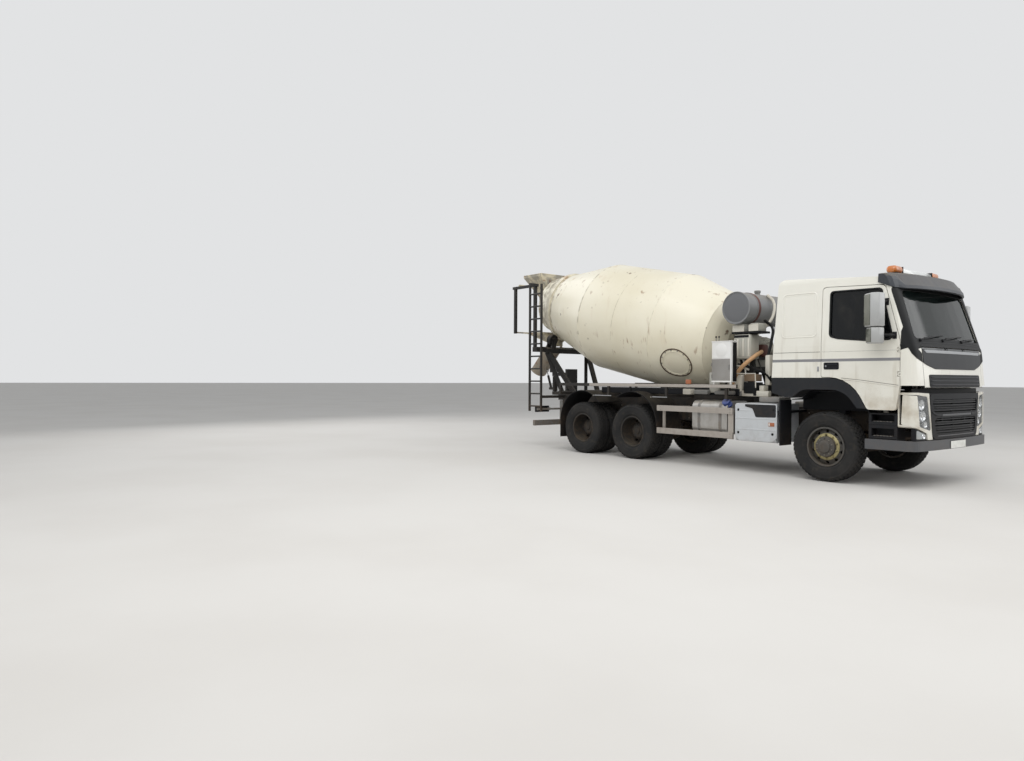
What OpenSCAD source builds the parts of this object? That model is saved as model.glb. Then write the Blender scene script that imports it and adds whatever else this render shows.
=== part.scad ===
// Concrete mixer truck: a three-axle chassis with a tilting cab, a turning drum and a swinging chute.
// Millimetres. X runs forward, Y to the left, Z up, and the wheels stand on z = 0.
// Sizes along X in tables and modules are counted from the front axle.

/* [Chassis] */
// Front axle to first rear axle
wheelbase = 3910; // [3600:10:4400]
// First to second rear axle
tandem_pitch = 1370; // [1300:10:1450]
// Front axle to the foremost face
front_overhang = 1380; // [1300:10:1450]
// Overall width without mirrors
overall_w = 2490; // [2450:10:2550]
// Height of the frame's top face
frame_top = 1050; // [1030:5:1080]
// Height of a frame rail
rail_h = 300; // [260:10:320]
// Width over the frame rails
frame_w = 850; // [800:10:860]
// Width of a rail's flange
rail_flange = 80; // [60:5:90]
// Thickness of a rail's web and flanges
rail_t = 10; // [8:1:14]
// Front axle to the frame's rear end
frame_rear = 6750; // [6600:10:6850]
// Height of the mixer's own rails
subframe_h = 210; // [180:10:230]

/* [Wheels] */
// Radius of a tyre
tyre_r = 527.5; // [510:2.5:540]
// Width of a tyre
tyre_w = 315; // [295:5:320]
// Outer face of the tyres from the middle
tyre_face = 1220; // [1200:5:1235]
// Centre to centre of twin tyres
twin_pitch = 345; // [335:5:350]
// Radius of the rim under the bead
bead_r = 286; // [280:1:290]
// Bore of a wheel hub, radius
hub_bore_r = 60; // [50:1:65]
// Distance of a kingpin from the middle
kingpin_y = 880; // [870:5:890]
// Radius of a kingpin
kingpin_r = 25; // [20:1:28]
// Length of a steering arm
steer_arm = 220; // [200:5:240]
// Running clearance of a shaft in its bore
run_gap = 0.05; // [0.02:0.01:0.09]
// Gap at a seat between two pieces
seat_gap = 0.3; // [0.2:0.1:0.5]

/* [Cab] */
// Underside of the cab's floor
cab_floor_z = 1460; // [1455:5:1470]
// Highest point of the roof
cab_top = 3120; // [3050:10:3200]
// Front axle to the cab's rear wall at the foot
cab_rear = 880; // [850:10:900]
// Thickness of walls, roof and doors
cab_wall = 50; // [40:5:60]
// Thickness of floor
cab_floor_t = 60; // [40:5:80]
// Gap round the doors
door_gap = 8; // [6:1:10]
// Thickness of window glass
glass_t = 10; // [8:1:14]
// Height of the cab's belt line
belt_z = 2050; // [2000:10:2100]
// Width of the cab at the roof's edge
roof_w = 2370; // [2300:10:2400]
// Cab's tilt pivot ahead of the front axle
tilt_x = 1050; // [1045:1:1055]
// Cab's tilt pivot above the ground
tilt_z = 850; // [845:1:855]

/* [Drum] */
// Incline of the drum's axis
drum_incline = 12.3; // [12:0.1:12.6]
// Front axle back to the centre of the drum's front seam
drum_x = 2515; // [2500:5:2530]
// Height of the centre of the drum's front seam
drum_z = 2240; // [2230:5:2260]
// Radius of the front seam
seam_r = 856; // [840:2:870]
// Greatest radius of the drum
drum_r = 1141; // [1120:1:1145]
// Radius of the mouth
mouth_r = 622; // [610:1:630]
// Thickness of the drum's shell
drum_t = 10; // [8:1:14]
// Seam to the start of the straight barrel
front_cone_l = 1068; // [1050:2:1080]
// Length of the straight barrel
barrel_l = 1974; // [1950:2:2000]
// Seam to the middle of the roller ring
ring_s = 4454; // [4440:1:4470]
// Radius of the roller ring
ring_r = 800; // [790:1:810]
// Width of the roller ring
ring_w = 90; // [80:1:100]
// Seam to the mouth's end
mouth_s = 4961; // [4930:1:4980]
// Radius of a drum roller
roller_r = 125; // [110:1:130]
// Each roller's angle from straight below
roller_angle = 33; // [28:1:38]

/* [Chute] */
// Front axle back to the swing post
swing_x = 7500; // [7490:1:7510]
// Radius of the swing post's pins
swing_pin_r = 35; // [30:1:40]
// Slope of the chute at rest
chute_slope = 45; // [45:1:46]
// Inner radius of the trough
trough_r = 220; // [200:5:225]
// Wall of the trough
trough_t = 8; // [6:1:10]
// Trough ahead of its hinge
chute_head = 300; // [260:5:300]
// Trough behind its hinge
chute_tail = 560; // [500:5:560]

/* [Hidden] */
$fn = 48;
hinge_x = -swing_x - 50;
trough_mid = 60 + trough_r;
rear_reach = -hinge_x + chute_tail * cos(chute_slope) + trough_mid * sin(chute_slope);
front_axle_x = (rear_reach - front_overhang) / 2;
half_w = overall_w / 2;
beside = half_w + 55;
rail_y = frame_w / 2;
rail_bottom = frame_top - rail_h;
subframe_top = frame_top + subframe_h;
axle1_x = -wheelbase;
axle2_x = -wheelbase - tandem_pitch;
bogie_x = (axle1_x + axle2_x) / 2;
wheel_y = tyre_face - tyre_w / 2;
twin_mid_y = wheel_y - twin_pitch / 2;
flange_r = bead_r + 13;
bead_half = 115;

// Helpers

// Places what is drawn from the front axle in the part's own frame
module from_axle() { translate([front_axle_x, 0, 0]) children(); }

// The same piece on both sides
module both_sides() {
    children();
    mirror([0, 1, 0]) children();
}

module box(lo, hi) { translate(lo) cube(hi - lo); }

// An outline in X and Z, extruded along Y from y0 to y1
module side_prism(outline, y0, y1) {
    translate([0, y1, 0]) rotate([90, 0, 0]) linear_extrude(y1 - y0) polygon(outline);
}

// An outline in Y and Z, extruded along X from x0 to x1
module front_prism(outline, x0, x1) {
    translate([x0, 0, 0]) rotate([90, 0, 90]) linear_extrude(x1 - x0) polygon(outline);
}

// An outline in X and Y, extruded up from z0 to z1
module plan_prism(outline, z0, z1) {
    translate([0, 0, z0]) linear_extrude(z1 - z0) polygon(outline);
}

// A round bar from a to b
module bar(a, b, r) {
    d = b - a;
    translate(a) rotate([0, acos(d.z / norm(d)), atan2(d.y, d.x)]) cylinder(h = norm(d), r = r);
}

// A square bar from a to b, w wide and t thick
module strut(a, b, w, t) {
    d = b - a;
    translate(a) rotate([0, acos(d.z / norm(d)), atan2(d.y, d.x)])
        translate([-t / 2, -w / 2, 0]) cube([t, w, norm(d)]);
}

// Cuts off what reaches below z
module above(z) {
    difference() {
        children();
        box([-8200, -1300, 0], [1500, 1300, z]);
    }
}

// The points of one corner b between a and c, rounded to radius r
function corner(a, b, c, r, n) =
    r <= 0 ? [b] :
    let (u = (a - b) / norm(a - b), v = (c - b) / norm(c - b),
         half = acos(u * v) / 2,
         centre = b + (u + v) / norm(u + v) * r / sin(half),
         p0 = b + u * r / tan(half) - centre, p1 = b + v * r / tan(half) - centre,
         a0 = atan2(p0.y, p0.x), swing = atan2(p1.y, p1.x) - a0,
         turn = swing > 180 ? swing - 360 : swing < -180 ? swing + 360 : swing)
    [for (k = [0:n]) centre + r * [cos(a0 + turn * k / n), sin(a0 + turn * k / n)]];

// An outline from rows of [x, y, corner radius]
function rounded(rows, n = 5) =
    let (m = len(rows), p = [for (w = rows) [w[0], w[1]]])
    [for (i = [0:m - 1]) each corner(p[(i + m - 1) % m], p[i], p[(i + 1) % m], rows[i][2], n)];

// Outlines of the cab

screen_foot = [front_overhang - 65, 2030];
screen_lean = 17.66;
front_bow_r = 12000;
hatch_top = 1990;
hatch_bottom = 1430;
nose_foot = [front_overhang, hatch_bottom];
nose_lean = 5;
side_flat_x = 1110;

function bow(y) = front_bow_r - sqrt(front_bow_r * front_bow_r - y * y);

// Outline of the cab from the side, t inside the outer face
function cab_profile(t, floor_t) = rounded([
    [-cab_rear + t, cab_floor_z + floor_t, 0],
    [-cab_rear + 95 + t, cab_top - t, 110 - t],
    [1008 - t, cab_top - 124 - t, 120 - t],
    [screen_foot.x + 25 - t, screen_foot.y - 78.7, 0],
    [nose_foot.x + 5 - t, cab_floor_z + floor_t, 0]]);

// Outline of the cab from above, its front at x
function cab_plan(x, t, back = -2600) = rounded([
    [back, -half_w + t, 0],
    [x - 62, -half_w + t, 140 - t],
    each [for (y = [-900:300:900]) [x - bow(y), y, 0]],
    [x - 62, half_w - t, 140 - t],
    [back, half_w - t, 0]]);

// Outline of the cab from the front
function cab_section(t, low = 1000) = rounded([
    [-half_w + t, low, 0],
    [-half_w + t, belt_z, 0],
    [-roof_w / 2 + t, cab_top + 30 - t, 130 - t],
    [roof_w / 2 - t, cab_top + 30 - t, 130 - t],
    [half_w - t, belt_z, 0],
    [half_w - t, low, 0]]);

// Height of the roof at x
function roof_at(x) = cab_top - 124 * (x + cab_rear - 95) / (1008 + cab_rear - 95);

// Outer face of the cab's side at z
function side_at(z) = half_w - max(0, z - belt_z) * (half_w - roof_w / 2) / (cab_top + 30 - belt_z);

// Puts what is drawn upright against the leaning windscreen's foot
module on_screen() {
    translate([screen_foot.x, 0, screen_foot.y]) rotate([0, -screen_lean, 0]) children();
}

// Puts what is drawn upright against the foot of the nose, which leans back less
module on_nose() {
    translate([nose_foot.x, 0, nose_foot.y]) rotate([0, -nose_lean, 0]) children();
}

// The cab as one solid, t inside the outer face
module cab_solid(t, floor_t) {
    intersection() {
        side_prism(cab_profile(t, floor_t), -half_w, half_w);
        on_nose() plan_prism(cab_plan(-t, t), -400, cab_top - 1260);
        on_screen() plan_prism(cab_plan(-t, t), -1200, cab_top - 1320);
        front_prism(cab_section(t), -1200, 1500);
    }
}

module cab_shell() {
    difference() {
        cab_solid(0, 0);
        cab_solid(cab_wall, cab_floor_t);
    }
}

roof_split = 90;
door_front = side_flat_x - 3;
door_rear = -40;
hatch_half = half_w - 245;
pillar_x = door_front + door_gap;
side_low = 1567;

// Above the roof's joint
module roof_zone(gap = 0) {
    side_prism([[-1000, cab_top - roof_split + gap], [-1000, cab_top + 180], [1500, cab_top + 180],
        [1500, cab_top - roof_split - 174 + gap]], -beside, beside);
}

// Ahead of the door openings
module front_zone() {
    side_prism([[pillar_x, 1300], [pillar_x, 2100], [pillar_x - 245, 3000], [1500, 3000], [1500, 1300]],
        -beside, beside);
}

door_outline = [
    [door_rear, 2925, 60], [door_rear, side_low + 10, 30], [400, side_low + 10, 550], [655, 1113, 60],
    [1054, 1113, 40], [door_front, 1460, 60], [door_front, 2080, 100], [880, 2885, 80]];
window_outline = [
    [85, 2850, 50], [85, 2190, 60], [210, 2150, 60], [640, 2105, 100], [1010, 2110, 60], [830, 2840, 60]];

// Grows a rounded outline by moving its rows away from a middle point
function grown(rows, g, mid) = [for (w = rows)
    [w[0] + (w[0] > mid.x ? g : -g), w[1] + (w[1] > mid.y ? g : -g), w[2]]];

door_mid = [500, 1800];
window_mid = [500, 2450];

// The frame's two rails and what ties them
module frame() {
    color([0.12, 0.12, 0.13]) from_axle() {
        both_sides() difference() {
            box([-frame_rear, rail_y - rail_flange, rail_bottom], [1000, rail_y, frame_top]);
            box([-frame_rear - 1, rail_y - rail_flange - 1, rail_bottom + rail_t],
                [1001, rail_y - rail_t, frame_top - rail_t]);
        }
        for (x = [850, -1700, -2700, -3300, bogie_x, -5900, -frame_rear + 40])
            box([x - 40, -rail_y + rail_t, rail_bottom + 50], [x + 40, rail_y - rail_t, frame_top - 50]);
        tow_jaw();
        both_sides() {
            box([tilt_x - 110, rail_y - 60, tilt_z - 50], [tilt_x + 45, rail_y - 10, tilt_z + 30]);
            box([tilt_x - 110, rail_y - 11, tilt_z - 50], [tilt_x + 45, rail_y + 20, tilt_z + 30]);
            translate([tilt_x, rail_y + 80, tilt_z]) rotate([90, 0, 0]) cylinder(h = 70, r = tilt_pin_r);
            box([-790, rail_y - 60, frame_top], [-730, rail_y, cab_floor_z - seat_gap]);
        }
        box([-790, -rail_y + 59, cab_floor_z - 90], [-730, rail_y - 59, cab_floor_z - 30]);
    }
}

tow_jaw_r = 20;
tilt_pin_r = 20;
tow_jaw_gap = 60;
tow_jaw_x = -frame_rear - 90;
tow_jaw_z = 900;

// Jaw for a towing pin, at the rear
module tow_jaw() {
    difference() {
        union() {
            box([-frame_rear - 30, -90, tow_jaw_z - 90], [-frame_rear, 90, tow_jaw_z + 90]);
            box([tow_jaw_x - 60, -50, tow_jaw_z - tow_jaw_gap / 2 - 30],
                [-frame_rear - 29, 50, tow_jaw_z + tow_jaw_gap / 2 + 30]);
        }
        box([tow_jaw_x - 61, -51, tow_jaw_z - tow_jaw_gap / 2],
            [-frame_rear - 30, 51, tow_jaw_z + tow_jaw_gap / 2]);
        translate([tow_jaw_x, 0, tow_jaw_z - 100]) cylinder(h = 200, r = tow_jaw_r);
    }
}

spring_y = 425;
spring_w = 70;
axle_seat = 606;

// Front springs with their hangers, and the bogie's springs with their brackets
module leaf_springs() {
    front = [[760, 650], [760, 690], [640, 660], [150, 560], [-150, 560], [-640, 660], [-760, 690], [-760, 650],
        [-640, 620], [-150, 500], [150, 500], [640, 620]];
    rear = [[830, axle_seat], [830, 640], [150, 735], [-150, 735], [-830, 640], [-830, axle_seat],
        [-560, axle_seat], [-150, 650], [150, 650], [560, axle_seat]];
    color([0.15, 0.15, 0.15]) from_axle() both_sides() translate([0, spring_y - spring_w / 2, 0]) {
        side_prism(front, 0, spring_w);
        for (x = [-740, 740]) box([x - 30, 0, 670], [x + 30, spring_w, rail_bottom]);
        translate([bogie_x, 0, 0]) {
            side_prism(rear, 0, spring_w);
            box([-140, 0, 734], [140, spring_w, rail_bottom]);
        }
    }
}

axle_z = tyre_r;
eye_r = 55;
eye_low = axle_z - 95;
eye_high = axle_z + 95;

// Dropped beam with an eye for each kingpin
module front_axle() {
    color([0.13, 0.13, 0.13]) from_axle() difference() {
        union() {
            box([-50, -620, 390], [50, 620, 499.7]);
            both_sides() {
                strut([0, 600, 445], [0, kingpin_y - 30, 520], 100, 90);
                translate([0, kingpin_y, eye_low]) cylinder(h = eye_high - eye_low, r = eye_r);
            }
        }
        both_sides() translate([0, kingpin_y, 300]) cylinder(h = 500, r = kingpin_r + run_gap);
    }
}

spindle_end = 935;
diff_r = 205;

// Two driven axles, with their shafts
module rear_axles() {
    color([0.12, 0.12, 0.12]) from_axle() {
        for (x = [axle1_x, axle2_x]) translate([x, 0, axle_z]) {
            rotate([90, 0, 0]) translate([0, 0, -spindle_end]) cylinder(h = 2 * spindle_end, r = hub_bore_r);
            rotate([90, 0, 0]) translate([0, 0, -540]) cylinder(h = 1080, r = 72);
            sphere(r = diff_r);
            rotate([0, 90, 0]) cylinder(h = 330, r = 85);
            both_sides() box([-70, spring_y - spring_w / 2, 0],
                [70, spring_y + spring_w / 2, axle_seat - seat_gap - axle_z]);
        }
        bar([axle2_x + 320, 0, axle_z], [axle1_x - diff_r + 10, 0, axle_z], 45);
        bar([axle1_x + 320, 0, axle_z], [-1505, 0, 700], 45);
    }
}

// Engine and gearbox as plain blocks
module engine() {
    color([0.3, 0.3, 0.3]) from_axle() {
        box([-720, -325, 640], [760, 325, 1380]);
        box([-1500, -200, 600], [-720, 200, 1000]);
        both_sides() for (x = [-500, 400]) box([x, 324, 820], [x + 120, rail_y - rail_t, 920]);
    }
}

// A band that follows the cab's front, t thick, with its face at x
module front_band(x, t, z0, z1) {
    difference() {
        plan_prism(cab_plan(x, 0), z0, z1);
        plan_prism(cab_plan(x - t, t, back = -2700), z0 - 1, z1 + 1);
    }
}

bumper_low = 552;
bumper_high = 693;
tow_pin_r = 17;
tow_pin_x = front_overhang - 130;
tow_pin_y = -330;

// Bumper with a socket for a towing pin
module bumper() {
    color([0.42, 0.44, 0.46]) from_axle() {
        difference() {
            front_band(front_overhang, 60, bumper_low, bumper_high);
            box([-3000, -beside, 500], [625, beside, 800]);
        }
        difference() {
            union() {
                box([tow_pin_x - 60, tow_pin_y - 60, bumper_low + 10],
                    [front_overhang - 60, tow_pin_y + 60, bumper_high - 10]);
                both_sides() box([1000, rail_y - 60, 640], [front_overhang - 60, rail_y - 10, bumper_high - 2]);
            }
            translate([tow_pin_x, tow_pin_y, 500]) cylinder(h = 300, r = tow_pin_r);
        }
        both_sides() box([1000 + seat_gap, rail_y - 60, 640], [1060, rail_y - 10, tilt_z - 50 - seat_gap]);
    }
}

grille_low = 700;
grille_high = 1350;
grille_top_half = 860;
grille_foot_half = 745;
slat_h = 34;

// Half width of the grille at z
function grille_at(z) = grille_foot_half + (grille_top_half - grille_foot_half)
    * (z - grille_low + 50) / (grille_high - grille_low + 51);

// Outline of the grille from the front, g inside its edge
function grille_outline(g) = [[-grille_foot_half + g, grille_low - 50], [-grille_top_half + g, grille_high + 1],
    [grille_top_half - g, grille_high + 1], [grille_foot_half - g, grille_low - 50]];

// Lower grille: a surround, two groups of level slats and the panels of the fog lamps
module lower_grille() {
    color([0.06, 0.06, 0.06]) from_axle() {
        intersection() {
            union() {
                for (z = [grille_low, 1010, grille_high - 60])
                    front_band(front_overhang - 15, 50, z, z + 60);
                for (z = [790, 850, 910, 1100, 1160, 1220])
                    front_band(front_overhang - 25, 35, z, z + slat_h);
            }
            front_prism(grille_outline(0), 500, 1500);
        }
        difference() {
            intersection() {
                front_band(front_overhang - 15, 50, grille_low, grille_high);
                front_prism(grille_outline(0), 500, 1500);
            }
            front_prism(grille_outline(60), 400, 1600);
        }
        both_sides() intersection() {
            front_band(front_overhang - 30, 40, grille_low, 880);
            front_prism([[908, grille_low], [1170, grille_low], [1170, 866], [930, 789], [914, 775]], 1150, 1500);
        }
        both_sides() {
            box([1262, 690, grille_low], [1298, 745, grille_low + 40]);
            box([1262, 690, grille_low], [1285, 930, grille_low + 40]);
        }
        box([1240, -30, 690], [1317, 30, 1345]);
        both_sides() box([1000 + seat_gap, rail_y - 60, 930], [1320, rail_y - 10, 1020]);
    }
}

lamp_half = half_w - 57;

// White corners that hold the headlamps
module lamp_surrounds() {
    color([0.9, 0.9, 0.88]) from_axle() both_sides() difference() {
        intersection() {
            difference() {
                plan_prism(cab_plan(front_overhang - 15, half_w - lamp_half), 700, 1400);
                plan_prism(cab_plan(front_overhang - 55, half_w - lamp_half + 40, back = -2700), 600, 1500);
                box([-3000, -beside, 600], [step_x1 + 10, beside, 1500]);
            }
            front_prism(rounded([[grille_at(1352) + seat_gap, 1352, 20], [lamp_half, 1366, 30],
                [lamp_half, 885, 20], [lamp_half - 283, 795, 20], [lamp_half - 298, 705, 8], [grille_at(705) + seat_gap, 705, 8]]), 0, 1500);
        }
        front_prism(rounded(lamp_outline), 1100, 1500);
        front_prism(rounded(lamp_outline), 1078, 1101);
    }
}

lamp_outline = [[905, 1306, 40], [1200, 1335, 10], [1200, 915, 10], [800, 822, 30]];

// Headlamps at the front and tail lamps at the rear
module lamps() {
    color([0.85, 0.85, 0.82]) from_axle() {
        both_sides() difference() {
            intersection() {
                plan_prism(cab_plan(front_overhang - 20, half_w - lamp_half + 5), 700, 1400);
                front_prism(rounded(grown(lamp_outline, -seat_gap, [1000, 1100])), 0, 1500);
                box([1078 + seat_gap, 780, 700], [1400, lamp_half, 1400]);
            }
            plan_prism(cab_plan(front_overhang - 120, half_w - lamp_half + 90, back = -2700), 600, 1500);
        }
        both_sides() box([-rear_lamp_x - 60, 700, 780], [-rear_lamp_x, 1090, 920]);
    }
}

rear_lamp_x = 6900;
step_x0 = 650;
step_x1 = 1050;
step_y = half_w - 63;

// Steps, the front wheels' inner wings, mudflaps and their arms
module cab_steps() {
    wing = [[602, 790], [525, 1130], [225, 1366], [-400, 1366], [-520, 1250], [-700, 1225]];
    color([0.1, 0.1, 0.1]) from_axle() both_sides() {
        difference() {
            box([step_x0, 930, 560], [step_x1, step_y, 1065]);
            box([step_x0 + 40, 1000, 945], [step_x1 - 40, step_y + 1, 1045]);
            box([step_x0 + 40, 1040, 740], [step_x1 - 40, step_y + 1, 850]);
        }
        box([900, rail_y, 710], [980, 931, 800]);
        box([-745, tyre_face - tyre_w, 490], [-730, half_w - 20, 1213]);
        box([-785, rail_y, 1000], [-745, half_w - 20, 1040]);
        side_prism(concat(wing, [for (k = [len(wing) - 1:-1:0]) wing[k] - [k < 2 ? 12 : 0, 12]]), 600, arch_y - 8);
        box([-700, 600, 1060], [440, 612, 1366]);
        box([-100, rail_y, 1000], [0, 601, 1080]);
    }
}

tank_x0 = -2480;
tank_x1 = -1760;

// Fuel tank on the right and air tanks on the left, with straps and brackets
module tanks() {
    tank = [[-1180, 600, 120], [-560, 600, 120], [-560, 1160, 120], [-1180, 1160, 120]];
    color([0.55, 0.56, 0.57]) from_axle() {
        front_prism(rounded(tank), tank_x0, tank_x1);
        for (x = [tank_x0 + 110, tank_x1 - 170])
            front_prism(rounded(grown(tank, 6, [-870, 880])), x, x + 60);
        for (x = [tank_x0 + 110, tank_x1 - 170])
            box([x, -570, 640], [x + 60, -rail_y, 1020]);
        translate([tank_x1 - 80, -1020, 1150]) cylinder(h = 50, r = 45);
        for (z = [700, 960]) for (y = [620, 880])
            translate([tank_x0, y, z]) rotate([0, 90, 0]) cylinder(h = tank_x1 - tank_x0, r = 115);
        for (x = [tank_x0 + 110, tank_x1 - 170]) {
            box([x, rail_y, 800], [x + 50, 940, 860]);
            for (y = [620, 880]) box([x, y - 25, 700], [x + 50, y + 25, 960]);
        }
    }
}

box_x0 = -1555;
box_x1 = -765;

// Battery box on the right
module battery_box() {
    color([0.5, 0.52, 0.53]) from_axle() {
        front_prism(rounded([[20 - half_w, 520, 40], [-560, 520, 20], [-560, 1145, 20], [20 - half_w, 1145, 60]]),
            box_x0, box_x1 - 45);
        for (x = [box_x0 + 150, box_x1 - 250]) box([x, -561, 700], [x + 80, -rail_y, 1000]);
    }
}

// Silencer box on the left with its outlet
module exhaust() {
    color([0.35, 0.35, 0.35]) from_axle() {
        front_prism(rounded([[half_w - 45, 560, 60], [560, 560, 60], [560, 1140, 60], [half_w - 45, 1140, 60]]),
            box_x0, box_x1 - 45);
        for (x = [box_x0 + 150, box_x1 - 250]) box([x, rail_y, 700], [x + 80, 561, 1000]);
        bar([box_x0 + 300, 800, 1130], [box_x0 + 300, 800, 1230], 60);
    }
}

guard_x0 = axle1_x + 660;
guard_x1 = -1610;

// Side guards: two rails on posts, each side
module side_guards() {
    color([0.62, 0.63, 0.64]) from_axle() both_sides() {
        for (z = [[541, 643], [954, 1055]])
            box([guard_x0, half_w - 30, z[0]], [guard_x1, half_w - 5, z[1]]);
        box([-1712, half_w - 50, 530], [guard_x1, half_w - 29, 1050]);
        for (z = [565, 975]) box([guard_x0 + 60, half_w - 130, z], [guard_x0 + 110, half_w - 29, z + 50]);
        box([guard_x0 + 60, half_w - 130, 566], [guard_x0 + 110, half_w - 100, 1024]);
        for (x = [-1690, guard_x0 + 60]) box([x, rail_y, 985], [x + 50, half_w - 49, 1035]);
    }
}

walk_z0 = 1388;
walk_z1 = 1449;
walk_y = half_w - 55;
walk_rear = 6000;
guard_r = 650;
guard_z = 652;

// Mudguards over the rear wheels, hung from the side rails, with the last flap
module rear_mudguards() {
    color([0.07, 0.07, 0.07]) from_axle() both_sides() {
        for (g = [[axle1_x, -5, 125], [axle2_x, 40, 180]])
            intersection() {
                translate([g[0], half_w - 13, guard_z]) rotate([90, 0, 0]) difference() {
                    cylinder(h = 682, r = guard_r);
                    translate([0, 0, -1]) cylinder(h = 684, r = guard_r - 14);
                }
                side_prism(concat([[g[0], guard_z]],
                    [for (k = [0:6]) let (a = g[1] + (g[2] - g[1]) * k / 6)
                        [g[0] + 1200 * cos(a), guard_z + 1200 * sin(a)]]), 500, half_w - 5);
            }
        for (x = [axle1_x - 60, axle2_x + 60])
            box([x, walk_y - 15, guard_z + guard_r - 8], [x + 30, walk_y + 15, walk_z0]);
        box([axle2_x - guard_r + 1, 560, 300], [axle2_x - guard_r + 13, 1232, guard_z + 1]);
    }
}

// The mixer's rails on the frame, with the side rails
module subframe() {
    color([0.15, 0.15, 0.15]) from_axle() {
        both_sides() {
            box([-6900, rail_y - rail_flange, frame_top], [-1750, rail_y, subframe_top]);
            box([-walk_rear, walk_y - 20, walk_z0], [-1557, walk_y + 20, walk_z1]);
            for (x = [-1790, -3090, -4560, -walk_rear]) {
                box([x, rail_y - 1, 1200], [x + 50, walk_y + 20, 1250]);
                box([x, walk_y - 20, 1249], [x + 50, walk_y + 20, walk_z0 + 1]);
            }
        }
        for (x = [-1800, -2700, -3600, -4600, -5600, -6850])
            box([x - 40, -rail_y + rail_flange - 1, frame_top + 20],
                [x + 40, rail_y - rail_flange + 1, subframe_top - 50]);
    }
}

// Puts what is drawn along Z on the drum's axis, its X pointing up
module on_drum() {
    translate([-drum_x, 0, drum_z]) rotate([0, -(90 - drum_incline), 0]) children();
}

gear_foot = 330;
head_s = -260;

// Stand that carries the drum's drive and the water tank
module front_pedestal() {
    color([0.2, 0.2, 0.2]) from_axle() {
        on_drum() box([-gear_foot - 50, -260, -720], [-gear_foot - seat_gap, 260, -400]);
        both_sides() {
            above(subframe_top) {
                strut([-1885, 400, subframe_top - 90], [-1975, 235, 1760], 80, 120);
                strut([-2560, 400, subframe_top - 90], [-2130, 235, 1720], 80, 120);
            }
            box([-1840, 355, subframe_top], [-1760, 415, tank_z - tank_r - seat_gap]);
        }
    }
}

// Drive of the drum
module drum_gearbox() {
    color([0.55, 0.58, 0.52]) from_axle() on_drum() {
        translate([0, 0, -760]) cylinder(h = 341, r = 205);
        translate([0, 0, -420]) cylinder(h = 60, r = 245);
        translate([0, 0, -361]) cylinder(h = 361 + head_s - seat_gap, r = 150);
        box([-gear_foot, -240, -700], [-120, 240, -450]);
        translate([0, 0, -980]) cylinder(h = 221, r = 110);
    }
}

tank_r = 275;
tank_z = 2770;
tank_half = 880;

// Water tank across the truck
module water_tank() {
    color([0.6, 0.61, 0.62]) from_axle() {
        translate([-1800, tank_half, tank_z]) rotate([90, 0, 0]) cylinder(h = 2 * tank_half, r = tank_r);
        both_sides() translate([-1800, 640, tank_z]) rotate([90, 0, 0]) cylinder(h = 60, r = tank_r + 6);
    }
}

// Box for the drum's controls on the right
module control_box() {
    color([0.9, 0.9, 0.9]) from_axle() {
        box([-2045, 30 - half_w, 1489], [-1650, 175 - half_w, 2180]);
        for (x = [-2030, -1695]) box([x, 40 - half_w, walk_z1], [x + 30, 70 - half_w, 1490]);
    }
}

roller_c = ring_r + roller_r + seat_gap;
roller_up = -roller_c * cos(roller_angle);
roller_side = roller_c * sin(roller_angle);
head_low = -1070;
head_high = -960;

// Rear stand with the drum's rollers, the chute's lugs and the ladder
module rear_pedestal() {
    color([0.2, 0.2, 0.2]) from_axle() {
        on_drum() translate([0, 0, ring_s]) {
            box([head_low, -700, -120], [head_high, 700, 120]);
            both_sides() {
                for (z = [-100, 70]) box([head_high - 1, roller_side - 60, z], [roller_up + 50, roller_side + 60, z + 30]);
                translate([roller_up, roller_side, -99]) cylinder(h = 198, r = 25);
                translate([roller_up, roller_side, -55]) cylinder(h = 110, r = roller_r);
            }
        }
        both_sides() {
            above(subframe_top) {
                strut([-6390, 360, subframe_top - 90], [-7020, 620, 2140], 80, 100);
                strut([-6810, 360, subframe_top - 90], [-7080, 620, 2140], 80, 100);
            }
            box([-7200, 699, 2150], [-7050, 960, 2260]);
            box([-7180, 900, 2259], [-7110, 960, 3700]);
            box([-7950, 900, 3640], [-7110, 960, 3700]);
            box([-7900, 900, 2600], [-7840, 960, 3641]);
        }
        box([-6960, -160, frame_top + 20], [-6890, 160, 1760]);
        for (z = [lug_low, lug_high]) difference() {
            union() {
                box([-swing_x, -70, z], [-6959, 70, z + lug_h]);
                translate([-swing_x, 0, z]) cylinder(h = lug_h, r = 70);
            }
            translate([-swing_x, 0, z - 1]) cylinder(h = lug_h + 2, r = swing_pin_r + run_gap);
        }
        ladder();
    }
}

ladder_y = -1120;
ladder_x = -6700;

// Ladder on the right
module ladder() {
    for (x = [ladder_x, ladder_x - 400]) box([x - 20, ladder_y - 20, 800], [x + 20, ladder_y + 20, 3650]);
    for (z = [900:280:3600]) box([ladder_x - 401, ladder_y - 15, z], [ladder_x + 1, ladder_y + 15, z + 30]);
    box([-7120, ladder_y - 20, 3640], [-7060, -899, 3700]);
    box([ladder_x - 20, ladder_y + 19, 1100], [ladder_x + 20, -rail_y, 1160]);
}

hopper_top = 4020;
hopper_front = -7400;
hopper_rear = -8050;
hopper_half = 540;
hopper_neck = [-7800, -7440, 260, 3500];
funnel_top = [-8000, -7480, 460, 2620];
funnel_r = 178;
sheet_t = 8;

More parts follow.
